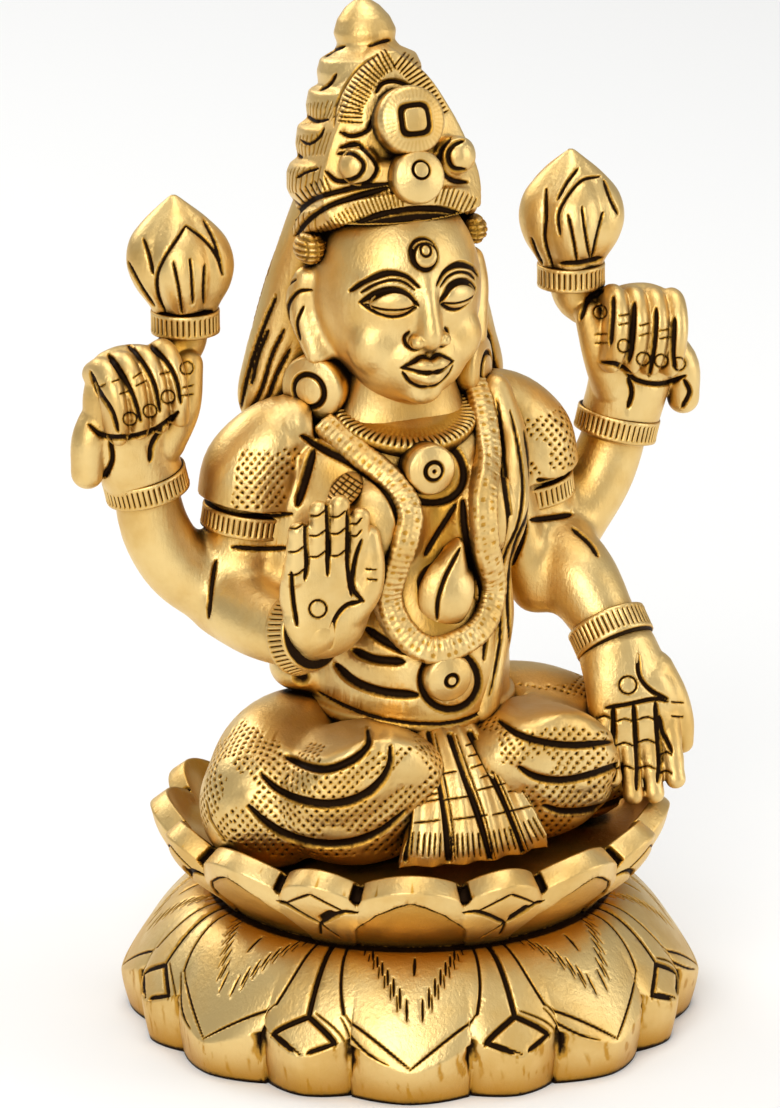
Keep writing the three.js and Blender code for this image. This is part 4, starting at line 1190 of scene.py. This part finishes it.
def pendant():
    """The long leaf that hangs inside the garland"""
    leaf = carved([
        egg((1.0, -9.9, 38.2), (5.2, 3.9, 6.2), turn=(0.05, 0, 0)),
        tube([(1.2, -10.0, 40.6, 3.9, 3.2), (2.1, -10.4, 43.8, 2.3, 2.6), (3.0, -10.4, 46.4, 0.7, 1.8)]),
    ], pitch=0.2, rounds=4)
    midrib = [(460, 548), (446, 575), (438, 600), (437, 620)]
    near_edge = [(442, 548), (426, 566), (416, 588), (416, 610), (426, 628), (442, 636)]
    far_edge = [(466, 540), (476, 560), (481, 588), (476, 612), (462, 630), (442, 638)]
    leaf.groove(midrib, 0.8)
    leaf.groove(near_edge, 0.9)
    leaf.groove(far_edge, 1.9, depth=0.9)
    place("pendant", [leaf.finish()])


FINGER_HALF, FINGER_FLATNESS = 1.72, 0.9


def finger(root, tip):
    """One finger with a slight fullness between its joints"""
    root, tip = np.asarray(root, float), np.asarray(tip, float)
    stops = []
    for share in np.linspace(0, 1, 7):
        full = FINGER_HALF * (1 - 0.14 * share) * (1 + 0.035 * math.cos(share * 6 * math.pi))
        stops.append((*(root + (tip - root) * share), full, full * FINGER_FLATNESS))
    return tube(stops, sides=24, steps=4)


def joints(fingers, sag):
    """Lines across fingers at their joints. Each finger has its left and right edge and its joints' heights
    in the photograph, and "sag" says how far a line's start, middle and end lie below its joint."""
    return [
        [(left, level + sag[0]), ((left + right) / 2, level + sag[1]), (right, level + sag[2])]
        for left, right, levels in fingers for level in levels
    ]


def blessing_hand():
    """The right front hand, palm to the front"""
    pitch, first, round_tip = 3.15, -23.2, 1.2
    hand = [
        tube([
            (-19.2, -10.6, 36.6, 4.6, 3.6), (-18.5, -11.2, 40, 6.2, 3.2), (-18.3, -11.8, 44.4, 6.5, 2.6),
            (-18.4, -12.0, 46.6, 6.2, 2.2),
        ]),
        tube([
            (-14.6, -11.8, 38.6, 2.8), (-12.2, -12.6, 42, 2.5), (-11.4, -12.9, 46, 2.0),
            (-11.6, -12.6, 49.8, 1.7),
        ]),
        egg((-18.0, -11.6, 37.6), (6.5, 3.0, 5.6)),
        egg((-15.4, -12.0, 40.2), (4.6, 2.4, 5.4)),
    ]
    for i, top in enumerate((53.4, 56.2, 56.6, 54.4)):
        x = first + pitch * i
        hand.append(finger((x * 0.99, -12.6, 45.0), (x + 0.5, -13.4, top - round_tip)))
    palm = carved(hand, pitch=0.2, rounds=7)
    between_fingers = [
        [(306, 508), (306, 540), (307, 565), (305, 580)],
        [(327, 500), (328, 530), (328, 555), (328, 576)],
        [(348, 510), (348, 540), (348, 565), (352, 596)],
    ]
    fingers = [
        (288, 305, (524, 548, 571)), (309, 326, (512, 532, 553)), (330, 346, (513, 530, 552)),
        (350, 362, (520, 532)),
    ]
    palm_lines = [
        [(362, 601), (346, 606), (335, 620), (330, 648)], [(362, 540), (355, 560), (354, 590), (364, 602)],
        [(291, 572), (293, 600), (297, 626)],
    ]
    palm_centre = (318, 609)
    thumb_joints = [[(365, 569), (377, 570)], [(366, 579), (378, 580)]]
    palm.grooves(between_fingers, 0.75, depth=0.5, taper=0.1)
    palm.grooves(joints(fingers, (4, 4, -2)), 0.4, depth=0.25, dark=0.9)
    palm.ring(palm_centre, 8.6, 0.42)
    palm.grooves(palm_lines, 0.8, depth=0.45)
    palm.grooves(thumb_joints, 0.35)
    place("blessing_hand", [palm.finish()])
    # a leaf of cloth in the crease over the breast, behind the fingertips
    leaf = carved([
        tube([
            (-16.2, -11.4, 54.8, 1.5, 1.2), (-14.2, -8.9, 55.1, 2.0, 1.4), (-12.3, -6.3, 55.4, 2.2, 1.6),
            (-11.0, -4.8, 55.4, 1.8, 1.6),
        ]),
    ], pitch=0.2, rounds=2)
    rising, falling = [(334, 504), (344, 492), (356, 474)], [(334, 478), (345, 488), (358, 500)]
    leaf.hatch(rising, 5, 30, 0.36, dark=0.8)
    leaf.hatch(falling, 7, 26, 0.32, dark=0.7)
    place("sleeve_corner", [leaf.finish()])


def giving_hand():
    """The left front hand, held down with the palm to the front"""
    pitch, first, round_tip = 3.35, 24.2, 1.4
    hand = [
        tube([
            (28.8, -8.6, 26.2, 5.9, 5.0), (29.4, -11.4, 21.8, 6.7, 3.7), (29.6, -13.4, 16.6, 7.0, 2.8),
            (29.7, -14, 14.8, 6.6, 2.2),
        ]),
        tube([
            (33.4, -11.0, 23, 3.2), (35.6, -12, 19.4, 2.6), (36.9, -12.7, 15.6, 2.1),
            (37.2, -13.0, 12.4, 1.7),
        ]),
        egg((33.2, -13.0, 20), (3.2, 2.4, 5), turn=(0, -0.4, 0)),
    ]
    for i, low in enumerate((8.6, 5.4, 5.2, 7.0)):
        x = first + pitch * i
        hand.append(finger((x + 0.3, -13.9, 16.6), (x + 0.1, -17.2, low + round_tip)))
    palm = carved(hand, pitch=0.2, rounds=4)
    between_fingers = [
        [(613, 706), (614, 735), (615, 762), (613, 782)],
        [(634, 704), (636, 735), (638, 765), (637, 790)],
        [(656, 702), (658, 735), (660, 765), (658, 782)],
    ]
    fingers = [
        (596, 612, (718, 741, 763)), (616, 634, (721, 745, 768)), (638, 656, (719, 742, 768)),
        (660, 672, (754, 773)),
    ]
    palm_lines = [
        [(605, 708), (630, 704), (656, 699), (668, 702)], [(638, 654), (640, 676), (652, 691), (668, 699)],
        [(660, 716), (664, 735), (672, 752)],
    ]
    palm_centre = (628, 685)
    thumb_joints = [[(671, 702), (684, 703)], [(671, 716), (684, 717)]]
    palm.grooves(between_fingers, 0.95, depth=0.6, taper=0.1)
    palm.grooves(joints(fingers, (1, -2, 1)), 0.4, depth=0.25, dark=0.9)
    palm.ring(palm_centre, 8.8, 0.42)
    palm.grooves(palm_lines, 0.8, depth=0.45)
    palm.grooves(thumb_joints, 0.35)
    place("giving_hand", [palm.finish()])


def raised_hand(side):
    """A fist round a lotus stalk: four curled fingers over the stalk, and the thumb laid up it"""
    out = 1.5 if side < 0 else 0.0
    hand = [
        tube(mirrored([
            (37.0, 9.8, 55, 5.8, 5.5), (38 + out, 8.6, 61, 6.2, 4.8), (38.4 + out, 8.2, 68, 6.8, 4.4),
            (38.4 + out, 8, 72.4, 6.0, 3.2),
        ], side)),
        tube(mirrored([(34.8, 7.4, 60.6, 3.0), (32.4, 6.4, 66, 2.6), (31.0, 7.4, 71.8, 2.1)], side)),
        tube(mirrored([
            (46.3, 8, 57.4, 2.4), (45.6, 8, 63, 2.7), (39, 10.4, 69, 3), (30.8, 11, 73.4, 3.2),
            (30, 11.4, 77, 3.6),
        ], side)),
    ]
    for i in range(4):
        x = 33.6 + out + 3.1 * i
        drop = 0.55 * i
        hand.append(tube(mirrored([
            (x + 0.6, 8.4, 73.4 - drop, 1.75, 1.9), (x + 0.4, 5.4, 74.6 - drop, 1.75, 2.1),
            (x, 3.5, 72.4 - drop, 1.72, 2.7), (x - 0.5, 3.2, 68.6 - drop, 1.68, 2.9),
            (x - 1.0, 3.9, 65.8 - drop, 1.55, 2.6),
        ], side), sides=24, steps=6))
    return carved(hand, pitch=0.21, rounds=4)


# Strokes on the two raised hands, by side, in the photograph's pixels
FINGER_GAPS = {
    -1: [
        [(90, 372), (98, 390), (112, 412), (118, 432)], [(108, 354), (122, 375), (134, 400), (141, 422)],
        [(128, 344), (142, 362), (154, 385), (160, 412)], [(150, 345), (166, 362), (176, 380), (181, 404)],
    ],
    1: [
        [(613, 296), (612, 320), (610, 345)], [(634, 302), (633, 325), (631, 348), (628, 362)],
        [(656, 308), (655, 335), (652, 358), (649, 376)], [(674, 318), (673, 340), (673, 358), (676, 370)],
    ],
}
PALM_FOLDS = {
    -1: [
        [(88, 424), (104, 436), (135, 436), (160, 427), (178, 412)], [(110, 440), (112, 460), (104, 478)],
        [(162, 428), (152, 445), (150, 462)],
    ],
    1: [
        [(600, 362), (620, 366), (636, 380), (662, 384), (686, 376)], [(628, 378), (632, 392), (628, 408)],
        [(603, 290), (588, 300), (580, 320)], [(684, 380), (690, 392), (682, 408)],
    ],
}
NAILS = {
    -1: [(130, 419), (150, 411), (168, 397), (187, 368)],
    1: [(600, 312), (624, 346), (643, 359), (661, 361), (679, 364)],
}
KNUCKLES = {
    -1: [
        [(98, 388), (106, 384)], [(112, 382), (120, 379)], [(120, 394), (129, 391)],
        [(133, 378), (142, 372)], [(136, 386), (146, 381)], [(160, 374), (170, 372)],
        [(182, 388), (194, 385)], [(182, 396), (194, 394)],
    ],
    1: [
        [(595, 334), (607, 334)], [(595, 343), (607, 343)], [(618, 316), (630, 314)],
        [(618, 325), (629, 323)], [(639, 326), (650, 323)], [(639, 336), (650, 333)],
        [(659, 331), (670, 329)], [(659, 339), (670, 337)],
    ],
}
SIDES = {-1: "right", 1: "left"}


def raised_hands():
    for side, name in SIDES.items():
        fist = raised_hand(side)
        fist.grooves(FINGER_GAPS[side], 0.85, depth=0.5, taper=0.1)
        fist.grooves(PALM_FOLDS[side], 0.9, depth=0.5)
        for nail in NAILS[side]:
            fist.ring(nail, 6.4, 0.35, dark=0.85)
        fist.grooves(KNUCKLES[side], 0.35, dark=0.8)
        place(f"{name}_raised_hand", [fist.finish()])


# Strokes on the two buds, by side, in the photograph's pixels
PETAL_EDGES = {
    -1: [
        [(186, 225), (176, 240), (164, 258), (157, 275), (158, 295), (166, 314)],
        [(186, 225), (205, 240), (218, 258), (223, 275)], [(204, 220), (214, 240), (221, 262)],
        [(143, 238), (149, 255), (153, 274)], [(128, 262), (140, 285), (154, 306)],
    ],
    1: [
        [(578, 168), (567, 182), (557, 200)], [(560, 236), (558, 215), (566, 198), (582, 180), (600, 176)],
        [(546, 188), (546, 215), (545, 240), (553, 268)], [(604, 180), (611, 200), (618, 214)],
        [(531, 238), (536, 252), (542, 264)],
    ],
}
PETAL_VEINS = {
    -1: [
        [(173, 262), (178, 285), (182, 314)], [(190, 258), (192, 280), (193, 304)],
        [(205, 264), (204, 285), (204, 304)],
    ],
    1: [
        [(568, 215), (573, 238), (577, 262)], [(582, 206), (585, 230), (590, 258)],
        [(603, 212), (597, 236), (592, 258)],
    ],
}
BUD_SEAMS = {-1: [(160, 314), (180, 318), (212, 312)], 1: [(560, 264), (580, 263), (602, 258)]}


def bud(side):
    """A lotus bud of overlapping petals drawn to a point"""
    rows = spline([
        (4.2, 0, -0.4), (4.9, 0, 1.2), (6.7, 0, 4.2), (7.5, 0, 7.4), (6.8, 0, 10.6), (4.5, 0, 13.4),
        (1.9, 0, 15.6), (0.4, 0, 16.8),
    ], 8)
    petals = 5
    angle = np.linspace(0, 2 * np.pi, 100, endpoint=False)
    petal = np.abs(((angle / (2 * np.pi) * petals) % 1) - 0.5) * 2
    rings = []
    for radius, _, lift in rows:
        r = radius * (1.045 - 0.15 * petal ** 1.8)
        rings.append(np.stack([
            29.9 * side + np.cos(angle) * r + 0.05 * side * lift,
            11.6 + np.sin(angle) * r + 0.12 * lift,
            78.4 + lift + 0 * r,
        ], 1) + LIFT)
    piece = carved([skin(rings)], pitch=0.22, rounds=3)
    # plainer petals behind, as distance from the bud's middle and height over the seat
    middle = -30.4 * side
    for path in (
        [(0, 95), (-3.2, 91.5), (-5.0, 87), (-3.6, 81.5)], [(0, 95), (3.2, 91.5), (5.0, 87), (3.6, 81.5)],
        [(-1.4, 88), (-1.2, 84.5), (-0.9, 81)], [(1.6, 88.6), (1.4, 84.5), (1.0, 81)],
    ):
        piece.groove([(middle + across, SEAT + up) for across, up in path], 0.55, depth=0.35, plan="back")
    piece.finish()
    piece.grooves(PETAL_EDGES[side], 0.6, depth=0.4)
    piece.grooves(PETAL_VEINS[side], 0.55, depth=0.35)
    piece.groove(BUD_SEAMS[side], 0.9)
    return piece


def buds():
    for side, name in SIDES.items():
        place(f"{name}_bud", [bud(side).finish()])


def head():
    """A calm idol's face on plain proportions: equal thirds from the crown's edge to the brow, the end of
    the nose and the chin, with the eyes and the mouth a third of a third below the brow and the nose"""
    centre = np.array([0, 5.4, 80.4])
    half = np.array([12.3, 12.1, 15.2])
    crown_edge, chin = 94.6, centre[2] - half[2]
    third = (crown_edge - chin) / 3
    brow = crown_edge - third
    nose_end = brow - third
    eye_line, mouth, spot = brow - third / 3, nose_end - third / 3, brow + third / 3
    eye_out = half[0] * 0.4

    def face_at(x, z):
        return centre[1] - half[1] * math.sqrt(1 - (x / half[0]) ** 2 - ((z - centre[2]) / half[2]) ** 2)

    body = [
        egg(centre, half),
        egg((0, 1.2, chin + 7.0), (8.8, 8.6, 7.2)),
        egg((0, -4.4, chin + 2.5), (3.0, 2.4, 2.1)),
        tube([(0, 5, 60, 7, 7), (0, 5, 72, 7, 7)]),
        tube([
            (0, -5.5, brow - 0.4, 1.6, 1.3), (0, -6.2, eye_line - 0.6, 1.5, 2.0),
            (0, -6.9, nose_end + 1.8, 1.9, 2.7), (0, -6.8, nose_end + 1.0, 1.7, 2.5),
        ]),
    ]
    for side in (-1, 1):
        body.append(egg((5.6 * side, -1.6, nose_end - 0.4), (4.6, 3.8, 4.8)))
        brow_middle = (5.0 * side, face_at(5, brow) + 1.6, brow - 0.2)
        body.append(egg(brow_middle, (4.4, 1.9, 1.3), turn=(0, 0, 0.36 * side)))
        body.append(tube(mirrored([
            (11.8, 5, 71.6, 2.3, 1.5), (13.3, 8.6, 78.6, 2.3, 2.6), (12.6, 7.9, 82.4, 2.1, 2),
        ], side)))
    soft = cast(body, pitch=0.45, rounds=6)
    fine = [soft]
    for side in (-1, 1):
        fine.append(egg((2.0 * side, -7.2, nose_end + 0.9), (1.15, 1.6, 1.05)))
        fine.append(egg(
            (eye_out * side, face_at(eye_out, eye_line) + 0.35, eye_line), (3.3, 1.45, 1.95),
            turn=(0.12, 0.08 * side, 0.38 * side),
        ))
    fine.append(tube([
        (-3.7, -5.9, mouth + 0.15, 0.45), (-1.3, -7.6, mouth + 0.75, 0.95), (0, -7.8, mouth + 0.5, 0.8),
        (1.3, -7.6, mouth + 0.75, 0.95), (3.7, -5.9, mouth + 0.15, 0.45),
    ], across=(0, 0, 1)))
    fine.append(tube([
        (-3.0, -6.2, mouth - 0.6, 0.6), (0, -7.5, mouth - 1.2, 1.15), (3.0, -6.2, mouth - 0.6, 0.6),
    ], across=(0, 0, 1)))
    mark = [(0.1, 0.9), (1.6, 0.8), (2.0, 0.2), (2.1, -1.5)]
    fine.append(turned(mark, (0, face_at(0, spot) - 0.1, spot), (0, -1, 0.5)))
    face = carved(fine, pitch=0.19, rounds=3)
    front = face.points[:, 1] < 4

    def line(stops, width, **options):
        for path in both_ways(stops):
            face.groove([(px, SEAT + pz) for px, pz in path], width, plan="front", where=front, **options)

    def by(level, stops):
        return [(px, level + pz) for px, pz in stops]

    # brows, lids and the slit of the lowered eyes
    line(by(brow, [(1.4, -1.1), (3.0, 0.5), (5.4, 1.0), (7.9, 0.0), (9.9, -2.1)]), 1.05, taper=0.5)
    line(by(eye_line, [(1.7, -0.4), (3.1, 1.45), (4.9, 2.05), (6.9, 1.5), (9.0, -0.3)]), 0.85)
    line(by(eye_line, [(2.0, 1.8), (3.4, 2.95), (5.1, 3.3), (7.0, 2.7), (8.8, 1.2)]), 0.55)
    line(by(eye_line, [(1.9, -0.6), (3.4, -1.7), (5.0, -2.05), (6.9, -1.6), (8.8, -0.4)]), 0.65)
    line(by(eye_line, [(2.1, -0.5), (3.6, -0.75), (5.0, -0.8), (6.7, -0.7), (8.4, -0.35)]), 0.5)
    # nose and mouth
    line(by(nose_end, [(1.3, 0.0), (2.1, -0.35), (3.1, 0.2), (3.3, 1.4), (2.7, 2.2)]), 0.6)
    line(by(mouth, [(0, -0.3), (1.6, -0.2), (4.1, 0.35)]), 0.75)
    line(by(mouth, [(0, -2.9), (1.4, -2.75), (2.9, -1.8), (3.9, -0.3)]), 0.6)
    line(by(mouth, [(0, 1.45), (1.2, 1.95), (2.8, 1.2), (4.0, 0.3)]), 0.5)
    line(by(nose_end, [(0.5, -0.7), (0.55, -1.6)]), 0.5, dark=0.5)
    face.ring((0, SEAT + spot - 0.1), 2.0, 0.75, plan="front", where=front)
    face.ring((0, SEAT + spot + 0.75), 0.8, 0.5, plan="front", where=front)
    # folds of the ears, and a line where the head meets the neck
    ear = np.abs(face.points[:, 0]) > 11
    fold = [(7.5, SEAT + 82.5), (10, SEAT + 80.5), (9.4, SEAT + 76), (6.2, SEAT + 73)]
    face.groove(fold, 0.7, plan="left", where=ear)
    face.groove([(-px, pz) for px, pz in fold], 0.7, plan="right", where=ear)
    ear_rim = [(296, 352), (289, 330), (288, 306), (298, 292), (312, 290)]
    ear_hollow = [(300, 340), (297, 322), (304, 306)]
    face.groove(ear_rim, 0.7)
    face.groove(ear_hollow, 0.6)
    jaw = by(SEAT + chin, [(-8.5, 1.6), (-4, -0.8), (0, -1.3), (4, -0.8), (8.5, 1.6)])
    face.groove(jaw, 1.0, plan="front", dark=0.8, where=face.points[:, 1] > -4.5)
    place("head", [face.finish()])


def hair():
    """Long hair that spreads over the back, in strands"""
    locks = carved([
        tube([
            (0, 13.4, 90, 13, 7), (0, 14.6, 80, 16.4, 7.2), (0, 15, 70, 19.2, 6.8),
            (0, 14.6, 62, 20.4, 6.2), (0, 13.4, 54, 15, 5.2), (0, 12, 46, 9, 4.4),
        ], sides=56),
    ], pitch=0.4, rounds=3)
    strands, apart = 7, 2.4
    for i in range(-strands, strands + 1):
        x = apart * i
        path = [
            (0.72 * x, SEAT + 90), (0.95 * x, SEAT + 80), (1.1 * x, SEAT + 70), (1.1 * x, SEAT + 61),
            (0.75 * x, SEAT + 52), (0.3 * x, SEAT + 45),
        ]
        locks.groove(path, 0.9, depth=0.45, dark=0.8, plan="back", taper=0.05)
    front_locks = [
        [(276, 296), (262, 330), (248, 372), (240, 408)], [(268, 330), (258, 355), (251, 385)],
        [(284, 330), (272, 355), (262, 388), (252, 410)], [(290, 350), (278, 372), (268, 400)],
        [(482, 300), (486, 340), (492, 378)], [(488, 330), (494, 360), (500, 385)],
    ]
    locks.grooves(front_locks, 0.8, depth=0.4)
    place("hair", [locks.finish()])


def beaded_tufts():
    """A small beaded knot of hair at each end of the crown's brim"""
    out, height = 12.2, 87
    knots = [egg((out * side, 7.4, height), (2.6, 3, 2.4)) for side in (-1, 1)]
    tuft = carved(knots, pitch=0.2, rounds=2)
    for low in np.arange(-2.1, 2.2, 0.85):
        z = SEAT + height + low
        for plan in ("front", "left", "right"):
            tuft.groove([(-16, z + 0.5), (16, z - 0.1)], 0.42, depth=0.22, plan=plan, dark=0.55, taper=0)
    for across in (10.9, 12.3, 13.7):
        for path in both_ways([(across, SEAT + height - 3), (across, SEAT + height + 3)]):
            tuft.groove(path, 0.4, depth=0.2, plan="front", dark=0.5, taper=0)
    place("beaded_tufts", [tuft.finish()])


def crown():
    """A tall tiered crown with a jewelled plate in front"""
    # depth, height, radius and tilt of each ring
    tiers = [
        (9.8, 87.6, 12.0, 0.46), (9.75, 88.0, 13.2, 0.46), (9.7, 88.5, 13.5, 0.46), (9.9, 91.1, 13.5, 0.42),
        (10, 91.5, 13.0, 0.41), (10.1, 91.8, 12.7, 0.4), (10.4, 93.4, 12.7, 0.34), (10.8, 93.9, 13.1, 0.31),
        (11.4, 94.8, 13.4, 0.28), (11.9, 97, 13.2, 0.24), (12.2, 98.0, 12.6, 0.23), (12.5, 98.6, 11.3, 0.2),
        (13.0, 100.4, 11.5, 0.19), (13.5, 102.8, 11.0, 0.18), (13.9, 103.7, 9.4, 0.17),
        (14.3, 105.6, 9.5, 0.17), (14.8, 107.6, 8.9, 0.17), (15, 108.3, 7.4, 0.17),
        (15.4, 110.2, 7.5, 0.17), (15.8, 111.8, 6.9, 0.17), (16.1, 112.9, 4.7, 0.18),
        (16.5, 113.8, 4.1, 0.18), (16.7, 114.3, 4.3, 0.18), (17.0, 115.2, 4.5, 0.18),
        (17.5, 117, 3.8, 0.18), (17.9, 118.6, 2.5, 0.18), (18.1, 119.5, 1.2, 0.18),
        (18.2, 119.9, 0.3, 0.18),
    ]
    cos, sin = circle(80)
    rings = [np.stack([
        cos * radius, y + sin * radius * math.cos(tilt), z - sin * radius * math.sin(tilt),
    ], 1) + LIFT for y, z, radius, tilt in tiers]
    plate_rows = spline([
        (11.6, 92, 0), (12.3, 95.5, 0), (10.6, 101.4, 0), (8.4, 106, 0), (5.2, 111, 0), (0.8, 114.6, 0),
    ], 6)
    plate = []
    share = np.linspace(-1, 1, 31)
    for half, z, _ in plate_rows:
        x = half * share
        y = -2.6 + 0.44 * (z - 92) + 0.03 * x ** 2
        front = np.stack([x, y, z + 0 * x], 1)
        plate.append(np.vstack([front, (front + [0, 6, 0])[::-1]]) + LIFT)
    body = [skin(rings), skin(plate)]
    for side in (-1, 1):
        boss = [(0.1, 1.9), (1.4, 1.6), (2.4, 0.8), (2.8, -0.4), (2.8, -4.5)]
        body.append(turned(boss, (7.8 * side, 0.3, 100.4), (0.5 * side, -1, 0.3)))
    crest = carved(body, pitch=0.22, rounds=3)
    brim = [(296, 256), (320, 238), (345, 220), (370, 207), (392, 199), (405, 197)]
    far_brim = [(436, 193), (455, 199), (474, 208)]
    low_tier = [(290, 214), (300, 200), (315, 190), (332, 182)]
    crest.hatch(brim, 4.3, 19, 0.3, dark=0.75)
    crest.hatch(low_tier, 5.2, 17, 0.32, dark=0.8)
    crest.hatch(far_brim, 4.6, 20, 0.3, dark=0.7)
    brim_lines = [
        [(306, 258), (322, 246), (345, 229), (370, 218), (395, 212), (425, 209), (455, 212), (474, 224)],
        [(288, 232), (296, 214), (312, 200), (340, 191), (365, 187), (390, 184)],
        [(292, 244), (304, 224), (325, 208), (350, 198), (388, 188)],
    ]
    # a wide dark line along the brim's lower edge: a seam, widened and darkened as painted shadow of the
    # brim
    brim_seam_and_shadow = [
        (306, 262), (322, 251), (345, 236), (370, 226), (395, 221), (425, 218), (455, 220), (474, 230),
    ]
    crest.grooves(brim_lines, 1.0, depth=0.55)
    crest.groove(brim_seam_and_shadow, 1.9, depth=0.4)
    arches_round_bosses = [
        [(325, 171), (338, 181), (358, 177), (364, 164), (352, 153), (338, 154)],
        [(340, 148), (356, 144), (370, 154), (378, 168), (370, 182), (350, 187)],
        [(466, 170), (452, 168), (447, 155), (453, 145), (464, 140)],
        [(450, 138), (440, 150), (441, 168), (452, 180), (468, 182)],
    ]
    crest.grooves(arches_round_bosses, 0.85, depth=0.5)
    # a hatched edge round the plate, inside a plain rim, and the crescent over the great jewel
    left_edge = [(350, 124), (352, 106), (362, 86), (376, 68), (392, 58)]
    right_edge = [(398, 58), (410, 68), (421, 84), (432, 102), (441, 118)]
    crescent = [
        [(376, 93), (382, 84), (394, 81), (408, 86), (414, 94)],
        [(380, 99), (392, 92), (404, 92), (418, 101)],
        [(340, 132), (352, 136), (368, 130), (374, 118)],
    ]
    plain_rim = [(334, 126), (336, 106), (346, 84), (360, 66), (378, 54)]
    crest.hatch(left_edge, 4.6, 24, 0.36, dark=0.9)
    crest.hatch(right_edge, 4.6, 20, 0.36, dark=0.9)
    crest.grooves(crescent, 0.8, depth=0.45)
    crest.groove(plain_rim, 0.45, depth=0.25, dark=0.6)
    scrolls_on_tiers = [
        [(300, 140), (308, 144), (318, 138), (324, 128)], [(306, 116), (316, 121), (328, 119)],
        [(292, 152), (302, 158)], [(320, 90), (330, 84), (336, 74)], [(296, 178), (306, 172), (318, 168)],
        [(326, 56), (334, 50), (345, 46)], [(368, 46), (380, 42), (391, 40)],
    ]
    crest.grooves(scrolls_on_tiers, 0.6, depth=0.35)
    # milled bands round the back, on levels that fall towards it as the tiers do
    x, y, z = (crest.points - LIFT).T
    axis_depth, fall, pitch = 11, 0.3, 5.6
    around = np.degrees(np.arctan2(x, y - axis_depth))
    level = z + fall * (y - axis_depth)
    gap = np.abs((around / pitch) % 1 - 0.5) * 2
    for low, high in ((87.8, 91.2), (94.2, 97.8), (99.4, 102.6), (104.2, 107.2)):
        band = (np.abs(around) < 118) & (level > low) & (level < high)
        line = np.clip(1 - gap / 0.34, 0, 1) * band
        crest.engrave(0.22 * line, 0.7 * line)
    place("crown", [crest.finish()])


def camera():
    """Looks at the figure as the photograph does"""
    data = bpy.data.cameras.new("camera")
    data.sensor_width = 36.0
    data.lens = data.sensor_width * FOCAL / max(PHOTO_SIZE)
    data.clip_start, data.clip_end = 0.1, 10.0
    obj = bpy.data.objects.new("camera", data)
    bpy.context.scene.collection.objects.link(obj)
    obj.location = Vector(EYE / METRE)
    obj.rotation_mode = "QUATERNION"
    obj.rotation_quaternion = Vector(-BACK).to_track_quat("-Z", "Y")
    bpy.context.scene.camera = obj


# Panels of light: where they stand, their width and height, and their power
LIGHTS = {
    "key": ((-0.55, -0.75, 0.62), (0.7, 0.8), 6.8),
    "fill": ((0.8, -0.5, 0.35), (0.45, 0.7), 2.3),
    "top": ((0.1, 0.1, 1.0), (0.7, 0.7), 4.2),
    "rim": ((-0.3, 0.8, 0.6), (0.5, 0.4), 2.5),
}
LIGHTS_AIM = Vector((0, 0, 0.075))


def area_light(name, spot, size, power):
    data = bpy.data.lights.new(name, "AREA")
    data.shape = "RECTANGLE"
    data.size, data.size_y = size
    data.energy = power
    obj = bpy.data.objects.new(name, data)
    bpy.context.scene.collection.objects.link(obj)
    obj.location = spot
    obj.rotation_mode = "QUATERNION"
    obj.rotation_quaternion = (LIGHTS_AIM - Vector(spot)).to_track_quat("-Z", "Y")


def studio():
    """A pale floor and soft light from wide panels"""
    corners = np.array([[-1, -1, 0], [1, -1, 0], [1, 1, 0], [-1, 1, 0]], float)
    half_floor = 4000
    ground = put_in("floor", set_mesh("floor", half_floor * corners, np.array([[0, 1, 2], [0, 2, 3]])))
    white = bpy.data.materials.new("floor")
    white.use_nodes = True
    shader = white.node_tree.nodes["Principled BSDF"]
    shader.inputs["Base Color"].default_value = (0.9, 0.9, 0.89, 1)
    shader.inputs["Roughness"].default_value = 0.9
    ground.data.materials.append(white)
    world = bpy.data.worlds.new("world")
    bpy.context.scene.world = world
    world.use_nodes = True
    background = world.node_tree.nodes["Background"]
    background.inputs["Color"].default_value = (1, 1, 1, 1)
    background.inputs["Strength"].default_value = 0.42
    for name, (spot, size, power) in LIGHTS.items():
        area_light(name, spot, size, power)
    bpy.context.scene.view_settings.view_transform = "Standard"


camera()
studio()
lower_lotus()
upper_lotus()
skirt()
pleats()
trunk()
bands()
jewels()
garland()
scarf()
collar()
pendant()
blessing_hand()
giving_hand()
raised_hands()
buds()
head()
hair()
beaded_tufts()
crown()
